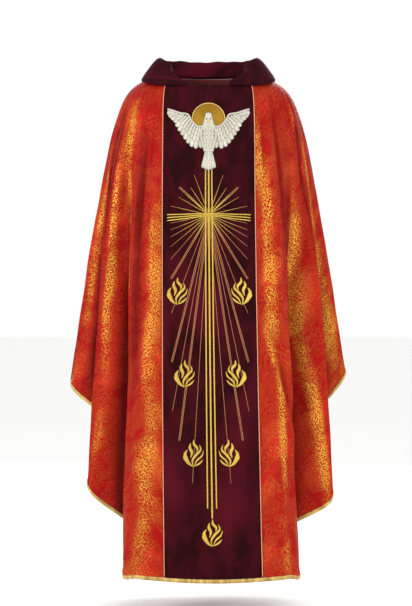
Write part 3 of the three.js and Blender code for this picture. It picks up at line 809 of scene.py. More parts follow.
@dataclass(frozen=True)
class MetalThread(Finish):
    """Metal thread laid side by side: each thread mirrors a thin line of light, with dark gaps between.

    The threads run slantwise over the strip that they fill, and are drawn coarser than real ones so that
    they show.
    """

    thread_colour: str
    gap_colour: str
    thread: float = 1.7
    slant: float = 1.0
    roughness: float = 0.36
    metallic: float = 0.85
    # How much darker each strip is drawn towards its sides and a feather's tip: painted shade.
    outline: float = 0.55
    start_colour: str | None = None
    start_reach: float = 85

    def shade(self, tree: bpy.types.NodeTree) -> bpy.types.Node:
        """Build the shader and return its node."""
        flat = add_node(tree, "TexCoord").outputs["UV"]
        turned = add_node(tree, "Mapping", None, {"Vector": flat, "Rotation": (0, 0, self.slant)}).outputs[0]
        scale = math.tau / 20 / (self.thread * MM)
        laid = add_node(
            tree,
            "TexWave",
            {"bands_direction": "Y"},
            {"Vector": turned, "Scale": scale, "Distortion": 0.5, "Detail": 1.0},
        ).outputs["Fac"]
        glint = add_node(tree, "TexNoise", None, {"Vector": flat, "Scale": 240.0, "Detail": 2.0}).outputs[0]
        rim = add_node(tree, "Attribute", {"attribute_name": "rim"}).outputs["Fac"]
        tint = add_node(tree, "Attribute", {"attribute_name": "tint"}).outputs["Fac"]
        shown = self.limits(tree, self.maths(tree, "MULTIPLY_ADD", glint, 0.5, laid), 0.15, 0.85)
        # The tint mark makes a piece lighter or darker as a whole; on the left flames this is painted shade.
        shown = self.maths(tree, "MULTIPLY", shown, self.maths(tree, "MULTIPLY_ADD", tint, 0.5, 0.65))
        # Painted shade: darker towards a strip's sides and a feather's tip, where it meets its neighbours.
        shown = self.maths(tree, "MULTIPLY", shown, self.maths(tree, "MULTIPLY_ADD", rim, -self.outline, 1.0))
        thread_colour = linear(self.thread_colour)
        if self.start_colour:
            along = add_node(tree, "SeparateXYZ", None, {0: flat}).outputs[1]
            started = self.limits(tree, along, self.start_reach * MM, 0.2 * self.start_reach * MM)
            thread_colour = self.blend(tree, started, thread_colour, linear(self.start_colour))
        return add_node(
            tree,
            "BsdfPrincipled",
            None,
            {
                "Base Color": self.blend(tree, shown, linear(self.gap_colour), thread_colour),
                "Metallic": self.metallic,
                "Roughness": self.maths(tree, "MULTIPLY_ADD", glint, 0.18, self.roughness),
                "Normal": self.bump(tree, laid, 0.3, 0.8),
            },
        )


@dataclass(frozen=True)
class StudioPaper(Finish):
    """Matt white background paper, with faint fibres."""

    colour: str = "#f4f4f2"

    def shade(self, tree: bpy.types.NodeTree) -> bpy.types.Node:
        """Build the shader and return its node."""
        where = add_node(tree, "TexCoord").outputs["Object"]
        fibres = add_node(tree, "TexNoise", None, {"Vector": where, "Scale": 60.0}).outputs[0]
        tint = self.blend(tree, fibres, linear(self.colour), linear("#fbfbfa"))
        return add_node(tree, "BsdfPrincipled", None, {"Base Color": tint, "Roughness": 0.95})


BROCADE = SilkBrocade("silk brocade with gold lamella")
VELVET = CottonVelvet("wine cotton velvet")
LINING = WovenCloth("red satin lining", "#8e1a1c", "#6a1014", 0.42, sheen=0.2)
CANVAS = WovenCloth("linen interlining", "#d8cfb8", "#b8ad92", 0.95, thread=2.4)
BINDING = WovenCloth("gold satin binding", "#d8b868", "#8e6e30", 0.34, sheen=0.3, metallic=0.5)
SEAM_CORD = MetalThread("twisted gold seam cord", "#f0b48c", "#9a5c40", 1.8, 0.0, metallic=0.5)
COUCHED = MetalThread(
    "couched copper-gold thread", "#c48656", "#642f1a", 1.5, 0.5, metallic=0.6, start_colour="#e0be50"
)
SATIN_GOLD = MetalThread("gold satin stitch", "#eccb58", "#7e591c", 1.7, 0.9, metallic=0.7)
HALO_GOLD = MetalThread("laid halo gold", "#a98012", "#563709", 1.7, 0.0, metallic=0.7)
HALO_EDGE = MetalThread("halo edge cord", "#ecd080", "#a07830", 1.6, 0.8, metallic=0.6)
SILVER = MetalThread("silver satin stitch", "#e2dccb", "#6e6a5f", 1.6, 0.7, 0.5, metallic=0.2, outline=0.95)
EYE_THREAD = MetalThread("black eye thread", "#241c18", "#0c0a08", 1.0, 0.4, 0.5, metallic=0.0)


# ---------------------------------------------------------------- cloth pieces


def cloth_area(points: Array) -> float:
    """Add up the two triangles of every cell in a grid of points in millimetres, in square metres."""
    across, down = np.diff(points, axis=0), np.diff(points, axis=1)
    first = np.cross(across[:, :-1], down[:-1])
    second = np.cross(across[:, 1:], down[1:])
    return float((np.linalg.norm(first, axis=-1) + np.linalg.norm(second, axis=-1)).sum() / 2) * MM**2


def line_length(points: Array) -> float:
    """Add up the steps along a line of points in millimetres, in metres."""
    return float(np.linalg.norm(np.diff(points, axis=0), axis=-1).sum()) * MM


@dataclass(frozen=True)
class Cut:
    """What a piece of cloth measures when it is laid flat, in metres."""

    width: float
    length: float
    area: float


@dataclass
class Layer:
    """A piece of cloth cut from one layer of the draped surface.

    Offsets and thickness are in millimetres, and depths come from functions of the station.
    """

    name: str
    slot: str
    finish: Finish
    first: float
    last: float
    offset: float
    thickness: float
    top: Callable[[Array], Array] = DRAPE.neck
    bottom: Callable[[Array], Array] = DRAPE.hem
    across: int = 120
    down: int = 200
    crowding: float = 1.25
    # These set the marks that the brocade's colour reads: a painted highlight of gold and a painted shade of the silk.
    base_painted_gleam: float = 0.1
    relief_for_painted_gleam: float = 120
    relief_for_shade: float = 30
    bulge_for_shade: float = 60
    side_shade: float = 0.55
    base_shade: float = 0.05

    def build(self, drape: Drape) -> tuple[bpy.types.Object, Cut]:
        """Make the piece.

        Args:
            drape: The surface that it is a layer of.

        Returns:
            The piece and what it measures when flat.
        """
        stations = np.linspace(self.first, self.last, self.across + 1)
        shares = np.linspace(0, 1, self.down + 1) ** self.crowding
        top, bottom = self.top(stations), self.bottom(stations)
        depths = top[:, None] + (bottom - top)[:, None] * shares
        station_grid = np.repeat(stations[:, None], self.down + 1, axis=1)
        points = drape.place(station_grid, depths, self.offset)
        step_across = np.linalg.norm(np.diff(points, axis=0), axis=2) * MM
        step_down = np.linalg.norm(np.diff(points, axis=1), axis=2) * MM
        flat = np.zeros(points.shape[:2] + (2,))
        flat[1:, :, 0] = np.cumsum(step_across, axis=0)
        flat[:, 1:, 1] = -np.cumsum(step_down, axis=1)
        flat[..., 0] += self._pattern_start()
        cut = Cut(float(step_across.sum(axis=0).max()), float(step_down.sum(axis=1).max()), cloth_area(points))

        def place(across: Array, up: Array) -> tuple[Array, Array]:
            """Look up the points of the layer."""
            column = np.rint(across * self.across).astype(int)
            row = np.rint((1 - up) * self.down).astype(int)
            return points[column, row], flat[column, row]

        maker = MeshMaker()
        maker.grid(self.across, self.down, place)
        piece = maker.finish(self.name, self.finish.material())
        self._mark_painted_light(piece, drape, station_grid, depths)
        thicken(piece, self.thickness)
        return piece, cut

    def _pattern_start(self) -> float:
        """Shift the pattern, so that two pieces don't show the same part of it."""
        return 1.7 * (hash_name(self.name) % 11)

    def _mark_painted_light(self, piece: bpy.types.Object, drape: Drape, station: Array, depth: Array) -> None:
        """Store the painted highlight of gold and the painted shade of the silk at each point, each from 0 to 1."""
        out = drape.normal(station, depth)
        relief = drape.relief(station, depth)
        middle = drape.surface(station, depth)
        beside = drape.surface(station - 0.5, depth) + drape.surface(station + 0.5, depth)
        bulge = ((2 * middle - beside) * out).sum(axis=-1)
        aside = 1 - np.abs(out[..., 1])
        glint = drape.glint(station, depth)
        # Painted highlight: gold is drawn along the glint lines and over raised folds.
        gold = glint + self.base_painted_gleam + relief / self.relief_for_painted_gleam
        # Painted shade: darker in the dark glint lines, on flanks that face aside and in hollows between folds.
        lift = bulge / self.bulge_for_shade + relief / self.relief_for_shade
        shade = -glint + self.side_shade * aside**2 - lift + self.base_shade
        values = {"crest": np.clip(gold, 0, 1), "hollow": np.clip(shade, 0, 1)}
        mesh = piece.data
        order = self._order(len(mesh.vertices))
        for name, value in values.items():
            attribute = mesh.attributes.new(name, "FLOAT", "POINT")
            attribute.data.foreach_set("value", value[order[:, 0], order[:, 1]].astype(np.float32))

    def _order(self, count: int) -> Array:
        """Column and row of each point, in the order that a grid has them."""
        number = np.arange(count)
        return np.stack([number % (self.across + 1), self.down - number // (self.across + 1)], axis=1)


def hash_name(name: str) -> int:
    """Turn a name into a number, the same one in each run."""
    return sum(ord(letter) * (i + 3) for i, letter in enumerate(name))


def report(piece: bpy.types.Object, nodes: Sequence[str]) -> bpy.types.Object:
    """Tie a finished piece to the frame.

    Args:
        piece: The piece, in place.
        nodes: The CAD nodes that it stands for.

    Returns:
        The same piece.
    """
    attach(piece, "root")
    if nodes:
        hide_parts(*nodes)
    LOG.info("%s: %d faces, for %s", piece.name, len(piece.data.polygons), ", ".join(nodes) or "no node")
    return piece


@dataclass
class Garment:
    """The brocade halves, velvet panels, linings, facings, bindings and seam cords."""

    drape: Drape
    brocade: float = 1.2
    velvet: float = 1.6
    interlining: float = 0.7
    lining: float = 0.5
    facing: float = 0.6
    gap: float = 0.35
    facing_width: float = 45
    binding_width: float = 8
    cord_diameter: float = 2.6
    cord_lay: float = 7

    def build(self) -> None:
        """Make every piece of the garment but its collar and embroidery."""
        for half in Half:
            self._panels(half)
            for hand in Hand:
                self._quarter(half, hand)
                self._seam_cord(half, hand)
            self._binding(half)

    def _sheet(self, layer: Layer) -> None:
        piece, cut = layer.build(self.drape)
        report(piece, [layer.name])
        LOG.info("%s: flat %.3f by %.3f m, %.3f m2", layer.name, cut.width, cut.length, cut.area)

    def _panels(self, half: Half) -> None:
        """Make a velvet panel with its interlining, and the lining and neck facing behind it."""
        name = half.name.lower()
        edge, side = PANEL_STATION - SEAM_GAP, SIDE_STATION - SEAM_GAP
        middle = half.value
        behind = -self.velvet - self.gap
        lining = behind - self.interlining - self.gap
        facing = lining - self.lining - self.gap

        def facing_foot(station: Array) -> Array:
            """Depth of the facing's lower edge."""
            return self.drape.neck(station) + self.facing_width

        self._sheet(
            Layer(f"{name}_orphrey", "velvet", VELVET, middle - edge, middle + edge, 0, self.velvet, across=48)
        )
        self._sheet(
            Layer(
                f"{name}_interlining", "canvas", CANVAS, middle - edge, middle + edge, behind, self.interlining,
                across=32, down=120,
            )
        )
        self._sheet(
            Layer(
                f"{name}_lining", "satin", LINING, middle - side, middle + side,
                lining, self.lining, across=252, down=130,
            )
        )
        self._sheet(
            Layer(
                f"{name}_neck_facing", "satin", LINING, middle - side, middle + side, facing, self.facing,
                bottom=facing_foot, across=120, down=12, crowding=1,
            )
        )

    def _quarter(self, half: Half, hand: Hand) -> None:
        """Make the brocade on one side of the front or the back."""
        near, far = PANEL_STATION + SEAM_GAP, SIDE_STATION - SEAM_GAP
        onward = hand.value if half is Half.FRONT else -hand.value
        ends = sorted((half.value + onward * near, half.value + onward * far))
        name = f"{half.name.lower()}_brocade_{hand.name.lower()}"
        self._sheet(Layer(name, "brocade", BROCADE, ends[0], ends[1], 0, self.brocade, across=140, down=200))

    def _binding(self, half: Half) -> None:
        """Make the satin strip that folds over the hem."""
        side = SIDE_STATION - SEAM_GAP
        inside = -self.velvet - self.interlining - self.lining - 2 * self.gap
        profile = [
            (-self.binding_width, 0.5),
            (-self.binding_width + 1, 1.0),
            (-1.5, 1.1),
            (0.6, 0.9),
            (1.4, -0.2),
            (1.4, inside + 0.2),
            (0.6, inside - 0.9),
            (-1.5, inside - 1.1),
            (-self.binding_width, inside - 0.6),
        ]
        across, along = 8, 420

        def place(up: Array, around: Array) -> tuple[Array, Array]:
            """Put the folded profile along the hem."""
            station = half.value - side + 2 * side * (1 - around)
            spot = np.rint(up * across).astype(int)
            below, offset = np.array(profile)[spot].T
            pucker = 0.25 * np.sin(station * 61) + 0.2 * np.sin(station * 97 + 1)
            points = self.drape.place(station, self.drape.hem(station) + below, offset + pucker * (offset > 0))
            run = station * 0.16
            return points, np.stack([run, up * 2.4 * self.binding_width * MM], axis=1)

        maker = MeshMaker()
        maker.grid(across, along, place)
        name = f"{half.name.lower()}_hem_binding"
        piece = maker.finish(name, BINDING.material())
        thicken(piece, 0.3)
        report(piece, [name])
        stations = half.value + np.linspace(-side, side, along + 1)
        length = line_length(self.drape.place(stations, self.drape.hem(stations), 0))

    def _seam_cord(self, half: Half, hand: Hand) -> None:
        """Make the two-ply cord that covers the seam between velvet and brocade."""
        onward = hand.value if half is Half.FRONT else -hand.value
        station = np.array(half.value + onward * PANEL_STATION, float)
        top = float(self.drape.neck(station)) + self.cord_diameter
        bottom = float(self.drape.hem(station)) - self.binding_width - self.cord_diameter
        radius = self.cord_diameter / 2

        def place(around: Array, up: Array) -> tuple[Array, Array]:
            """Wind the cord's lobed outline down the seam."""
            depth = bottom + (top - bottom) * up
            here = np.full_like(depth, float(station))
            middle = self.drape.place(here, depth, self.gap + radius)
            out = self.drape.normal(here, depth)
            beside = np.cross(out, np.array([0.0, 0.0, 1.0]))
            beside /= np.linalg.norm(beside, axis=1, keepdims=True)
            angle = -around * math.tau
            ply = radius * (0.84 + 0.16 * np.cos(2 * (angle + math.pi * depth / self.cord_lay)))
            ring = beside * np.cos(angle)[:, None] + out * np.sin(angle)[:, None]
            flat = np.stack([around * math.tau * radius, depth], axis=1) * MM
            return middle + ring * ply[:, None], flat

        maker = MeshMaker()
        maker.grid(10, 640, place)
        maker.weld()
        name = f"{half.name.lower()}_seam_cord_{hand.name.lower()}"
        report(maker.finish(name, SEAM_CORD.material()), [name])


@dataclass
class Collar:
    """The fold-over collar: face, interfacing and under collar, as nested arches round the neck."""

    drape: Drape
    rise: float = 78
    rise_over: float = 1.6
    inset: float = 10
    lift: float = 1.5
    roll: float = 0.4
    clearance: float = 4.5
    front_edge: float = 40
    side_edge: float = 19
    back_edge: float = 43
    velvet: float = 1.4
    canvas: float = 0.7
    gap: float = 0.35
    across: int = 220
    down: int = 44
    seam_softness: int = 46
    edge_softness: int = 12

    def build(self) -> None:
        """Make the three layers."""
        under_canvas = self.velvet + self.gap
        under = under_canvas + self.canvas + self.gap
        self._layer("collar_top", VELVET, 0, self.velvet)
        self._layer("collar_interfacing", CANVAS, under_canvas, self.canvas, inset=0.05)
        self._layer("collar_under", VELVET, under, self.velvet)

    def _lines(self) -> tuple[Array, Array, Array]:
        """Run the collar's seam, roll and free edge round the neck.

        Returns:
            Points of the seam, of the roll and of the free edge in millimetres, evenly spaced.
        """
        drape = self.drape
        start = drape.collar_corner + 0.06
        station = np.linspace(start, 2 * HALF_TURN - start, 900)
        away = folded_back(station)
        neck = drape.neck(station)
        level = drape.normal(station, neck) * np.array([1.0, 1.0, 0.0])
        level /= np.linalg.norm(level, axis=-1, keepdims=True)
        foot = drape.surface(station, neck) - level * self.inset + np.array([0, 0, self.lift])
        edge_depth = (
            self.front_edge
            + (self.side_edge - self.front_edge) * ease(2.5, 8, away)
            + (self.back_edge - self.side_edge) * ease(9.5, 16, away)
        )
        whole = 2 * self.velvet + self.canvas + 2 * self.gap
        edge = drape.surface(station, edge_depth) + drape.normal(station, edge_depth) * (whole + self.clearance)
        high = self.rise * settle(away - drape.collar_corner, self.rise_over) - drape.neck_drop
        high = np.maximum(high, np.maximum(foot[..., 2], edge[..., 2]) + 2 * whole)
        crest = foot + (edge - foot) * self.roll
        crest[..., 2] = high
        return (
            self._evened(foot, self.seam_softness),
            self._evened(crest, self.seam_softness),
            self._evened(edge, self.edge_softness),
        )

    def _evened(self, line: Array, rounds: int) -> Array:
        """Space a line's points evenly, then soften its corners by so many rounds of averaging."""
        run = np.concatenate([[0], np.cumsum(np.linalg.norm(np.diff(line, axis=0), axis=1))])
        even = np.linspace(0, run[-1], self.across + 1)
        points = np.stack([np.interp(even, run, line[:, axis]) for axis in range(3)], axis=1)
        for _ in range(rounds):
            points[1:-1] = (points[:-2] + 2 * points[1:-1] + points[2:]) / 4
        return points

    def _border(self, inset: float) -> Array:
        """Rise from 0 at the collar's outline to 1 a little way in, where its layers part."""
        ends = np.linspace(0, 1, self.across + 1)[:, None]
        rows = np.linspace(inset, 1 - inset, self.down + 1)[None, :]
        across = ease(0, 0.01, ends) * ease(0, 0.01, 1 - ends)
        return across * ease(0, 0.05, rows) * ease(0, 0.05, 1 - rows)

    def _layer(self, name: str, finish: Finish, under: float, thickness: float, inset: float = 0) -> None:
        """Make one layer, so far under the collar's face, its edges inset by a share of its size."""
        foot, crest, edge = (line[:, None, :] for line in self._lines())
        shares = np.linspace(inset, 1 - inset, self.down + 1)
        t = shares[None, :, None]
        pull = (crest - foot / 8 - edge / 8) * 4 / 3
        points = foot * (1 - t) ** 3 + 3 * pull * t * (1 - t) + edge * t**3
        round_share = np.linspace(0, 1, self.across + 1)[:, None]
        soft = 1.0 * np.sin(round_share * 43 + 0.8) + 0.7 * np.sin(round_share * 97)
        points[..., 2] += soft * np.sin(math.pi * shares)[None, :]
        round_neck = np.gradient(points, axis=0)
        over_roll = np.gradient(points, axis=1)
        out = np.cross(over_roll, round_neck)
        out /= np.linalg.norm(out, axis=-1, keepdims=True)
        step = np.linalg.norm(over_roll, axis=-1)
        turning = np.linalg.norm(np.gradient(over_roll / step[..., None], axis=1), axis=-1)
        radius = step / np.maximum(turning, 1e-6)
        margin = self._border(inset)
        middle = self.velvet + self.gap + self.canvas / 2
        sunk = middle - thickness / 2 + (under - middle + thickness / 2) * margin
        points = points - out * np.minimum(sunk, 0.5 * radius)[..., None]
        step_round = np.linalg.norm(np.diff(points, axis=0), axis=2) * MM
        step_over = np.linalg.norm(np.diff(points, axis=1), axis=2) * MM
        flat = np.zeros(points.shape[:2] + (2,))
        flat[1:, :, 0] = np.cumsum(step_round, axis=0)
        flat[:, 1:, 1] = np.cumsum(step_over, axis=1)

        def place(around: Array, back: Array) -> tuple[Array, Array]:
            """Look up the points of the collar."""
            column = np.rint(around * self.across).astype(int)
            row = np.rint((1 - back) * self.down).astype(int)
            return points[column, row], flat[column, row]

        maker = MeshMaker()
        maker.grid(self.across, self.down, place)
        piece = maker.finish(name, finish.material())
        thicken(piece, thickness)
        report(piece, [name])


# ---------------------------------------------------------------- embroidery


@dataclass
class Stitcher:
    """Lays crowned strips of stitching over the front panel, all into one mesh."""

    drape: Drape
    maker: MeshMaker = field(default_factory=MeshMaker)

    def strip(
        self,
        line: Sequence[tuple[float, float]],
        width: float,
        base: float,
        crown: float,
        taper: Taper = Taper.STRAND,
        across: int = 4,
        along: int = 16,
        tint: float = 0.5,
    ) -> None:
        """Lay one strip.

        Args:
            line: Its middle line: x off the panel's centre line and z, in millimetres.
            width: Its greatest width.
            base: How high over the velvet its edges lie.
            crown: How much higher its middle lies.
            taper: How its width changes.
            across: Faces across.
            along: Faces along.
            tint: From 0 to 1, how light it is among its neighbours.
        """

        def rim(side: Array, share: Array) -> Array:
            """Rise to 1 at the strip's sides, and at a feather's tip, where the thread is drawn darker as painted
            shade.
            """
            beside = np.abs(side * 2 - 1) ** 2.5
            return np.maximum(beside, ease(0.9, 1.0, share)) if taper is Taper.FEATHER else beside

        def place(side: Array, share: Array) -> tuple[Array, Array]:
            """Put the strip's outline over the panel."""
            middle, right = smooth_line(line, share)
            spread = (side * 2 - 1) * self._width(taper, share) * width / 2
            where = middle + right * spread[:, None]
            lift = base + crown * np.sqrt(np.maximum(0, 1 - (side * 2 - 1) ** 2)) * self._plump(taper, share)
            length = np.linalg.norm(np.diff(np.array(line), axis=0), axis=1).sum()
            flat = np.stack([spread, share * length], axis=1) * MM
            return self.drape.on_panel(where[:, 0], -where[:, 1], lift), flat

        self.maker.grid(across, along, place, rim, tint)

    @staticmethod
    def _width(taper: Taper, share: Array) -> Array:
        """Give the strip's width as a share of its greatest."""
        if taper is Taper.TONGUE:
            return np.maximum(0.36 * (1 - share), np.sin(math.pi * share) ** 0.9) + 0.02
        if taper is Taper.FEATHER:
            tip = np.clip((share - 0.72) / 0.28, 0, 1)
            return (0.35 + 0.65 * np.sin(math.pi / 2 * np.clip(share / 0.72, 0, 1))) * np.sqrt(1.001 - tip**2)
        if taper is Taper.RAY:
            return 1 + 0.8 * np.exp(-8 * share)
        return np.ones_like(share)

    @staticmethod
    def _plump(taper: Taper, share: Array) -> Array:
        """Give the strip's height as a share of its greatest."""
        if taper is Taper.FEATHER:
            return 0.3 + 0.7 * share
        return np.ones_like(share)

    def ring(
        self, middle: float, inner: float, outer: float, base: float, crown: float, steps: tuple[int, int]
    ) -> None:
        """Lay a ring of stitching round a point on the centre line.

        Args:
            middle: Its depth.
            inner: Inner radius.
            outer: Outer radius.
            base: How high its edges lie.
            crown: How much higher its middle lies.
            steps: Faces across and round.
        """

        def place(out: Array, round_: Array) -> tuple[Array, Array]:
            """Put the ring over the panel."""
            radius = inner + (outer - inner) * out
            angle = round_ * math.tau
            lift = base + crown * np.sqrt(np.maximum(0, 1 - (out * 2 - 1) ** 2))
            x, z = radius * np.cos(angle), radius * np.sin(angle) - middle
            flat = np.stack([angle * radius, radius], axis=1) * MM
            return self.drape.on_panel(x, -z, lift), flat

        self.maker.grid(steps[0], steps[1], place)

    def finish(
        self, name: str, finish: Finish, slot: str, nodes: Sequence[str], backing: float = 0.3
    ) -> bpy.types.Object:
        """Close the stitching into a piece and tie it to the frame."""
        bmesh.ops.remove_doubles(self.maker.bm, verts=self.maker.bm.verts[:], dist=0.004 * MM)
        piece = self.maker.finish(name, finish.material())
        thicken(piece, backing)
        return report(piece, nodes)


@dataclass(frozen=True)
class Ray:
    """A ray, by its angle from straight down and its length, or up to the margin if it has none."""

    angle: float
    length: float | None = None
    wide: bool = False


@dataclass
class CrossAndRays:
    """The long cross of three strands each way, and the rays behind it."""

    drape: Drape
    bar_depth: float = 357
    top: float = 246
    bottom: float = 1088
    outer_bottom: float = 1064
    top_spacing: float = 7.5
    bottom_spacing: float = 10.8
    outer_width: float = 3.8
    middle_width: float = 4.6
    arm_reach: float = 100
    arm_droop: float = 7
    arm_end_spacing: float = 7.2
    arm_waist_spacing: float = 3.0
    arm_width: float = 3.3
    margin: float = 18
    thin: float = 1.5
    wide: float = 4.4
    rays: tuple[Ray, ...] = (
        Ray(160.2, 103),
        Ray(146.7, 79),
        Ray(133.4, 98, True),
        Ray(120.7, 85),
        Ray(103.1),
        Ray(77.6),
        Ray(68.5),
        Ray(59.8),
        Ray(50.2),
        Ray(40.7),
        Ray(30.7, None, True),
        Ray(21.1),
        Ray(14.5, None, True),
        Ray(11),
        Ray(8, 550, True),
        Ray(4.1, 648),
    )

    def build(self) -> None:
        """Make the rays, the upright strands and the arms."""
        self._rays()
        self._uprights()
        self._arms()

    def _rays(self) -> None:
        """Lay the fan of rays as one piece."""
        stitcher = Stitcher(self.drape)
        reach = self.drape.panel_half_width - self.margin
        for ray in self.rays:
            for side in (-1, 1):
                x, z = side * math.sin(math.radians(ray.angle)), -math.cos(math.radians(ray.angle))
                length = ray.length or reach / abs(x)
                for beside in (-self.wide / 3, self.wide / 3) if ray.wide else (0.0,):
                    away = [(d, beside * min(1, d / 60)) for d in (4.0, 60.0, length / 2 + 30, length)]
                    points = [(x * d - z * b, z * d + x * b - self.bar_depth) for d, b in away]
                    width = self.wide / 2.3 if ray.wide else self.thin
                    stitcher.strip(points, width, 0.12, 0.45, Taper.RAY, across=4, along=max(8, int(length / 9)))
        stitcher.finish("ray_fan", COUCHED, "gold_thread", ["ray_fan"])

    def _uprights(self) -> None:
        """Lay the three long strands, which spread a little towards the foot."""
        spread = self.bottom_spacing / self.top_spacing
        for name, x, bottom, width in (
            ("left", -self.top_spacing, self.outer_bottom, self.outer_width),
            ("middle", 0.0, self.bottom, self.middle_width),
            ("right", self.top_spacing, self.outer_bottom, self.outer_width),
        ):
            stitcher = Stitcher(self.drape)
            line = [(x, -self.top), (x * spread, -bottom)]
            stitcher.strip(line, width, 1.0, 1.3, across=6, along=180)
            node = f"cross_upright_{name}"
            stitcher.finish(node, SATIN_GOLD, "gold_thread", [node])

    def _arms(self) -> None:
        """Lay the three strands of the bar, close together in the middle and fanned at the ends."""
        for name, up in (("upper", 1), ("middle", 0), ("lower", -1)):
            waist = up * self.arm_waist_spacing - self.bar_depth
            end = up * self.arm_end_spacing - self.bar_depth - self.arm_droop
            line = [
                (-self.arm_reach, end),
                (-self.arm_reach * 0.45, waist * 0.6 + end * 0.4),
                (0.0, waist),
                (self.arm_reach * 0.45, waist * 0.6 + end * 0.4),
                (self.arm_reach, end),
            ]
            stitcher = Stitcher(self.drape)
            stitcher.strip(line, self.arm_width, 2.2 + 0.1 * up, 1.2, across=6, along=60)
            node = f"cross_arm_{name}"
            stitcher.finish(node, SATIN_GOLD, "gold_thread", [node])


@dataclass(frozen=True)
class Tongue:
    """A tongue of flame: its middle line and width, in shares of the flame's height and width."""

    line: tuple[tuple[float, float], ...]
    width: float


@dataclass
class Flames:
    """Seven flames of satin stitch: three pairs beside the cross and one at its foot."""

    drape: Drape
    width: float = 52
    height: float = 66
    tongues: tuple[Tongue, ...] = (
        Tongue(((-0.02, -0.49), (-0.22, -0.38), (-0.35, -0.2), (-0.39, -0.02), (-0.27, 0.13)), 0.2),
        Tongue(((-0.14, -0.17), (-0.08, 0.02), (-0.17, 0.2), (-0.12, 0.37)), 0.16),
        Tongue(((0.15, 0.05), (0.17, 0.18), (0.02, 0.33), (0.02, 0.5)), 0.14),
        Tongue(((-0.03, -0.46), (-0.06, -0.27), (0.12, -0.06), (0.33, 0.12), (0.26, 0.32)), 0.135),
        Tongue(((0.03, -0.47), (0.14, -0.28), (0.38, -0.1), (0.46, 0.1)), 0.1),
        Tongue(((0.0, -0.49), (0.26, -0.38), (0.44, -0.23)), 0.1),
        Tongue(((-0.26, -0.3), (-0.4, -0.24), (-0.49, -0.11)), 0.1),
    )
    pairs: tuple[tuple[str, float, float], ...] = (
        ("upper", 541, 77),
        ("middle", 740, 61.5),
        ("lower", 931, 42.5),
    )
    foot_depth: float = 1122
    painted_shade_tint: float = 0.2

    def build(self) -> None:
        """Make the seven flames. Those on the right curl the other way."""
        for name, depth, x in self.pairs:
            self._flame(f"flame_{name}_left", -x, depth, 1)
            self._flame(f"flame_{name}_right", x, depth, -1)
        self._flame("flame_bottom", 0, self.foot_depth, 1)

    def _flame(self, node: str, x: float, depth: float, turn: int) -> None:
        """Make one flame.

        Args:
            node: The CAD node that it stands for.
            x: Its place off the panel's centre line.
            depth: The depth of its middle.
            turn: 1, or -1 for a mirrored flame.
        """
        stitcher = Stitcher(self.drape)
        for tongue in self.tongues:
            line = [(x + turn * across * self.width, up * self.height - depth) for across, up in tongue.line]
            # Painted shade: the flames on the left are drawn darker.
            tint = self.painted_shade_tint if x < 0 else 0.5
            stitcher.strip(line, tongue.width * self.width, 0.9, 1.2, Taper.TONGUE, across=6, along=18, tint=tint)
        stitcher.finish(node, SATIN_GOLD, "gold_thread", [node])


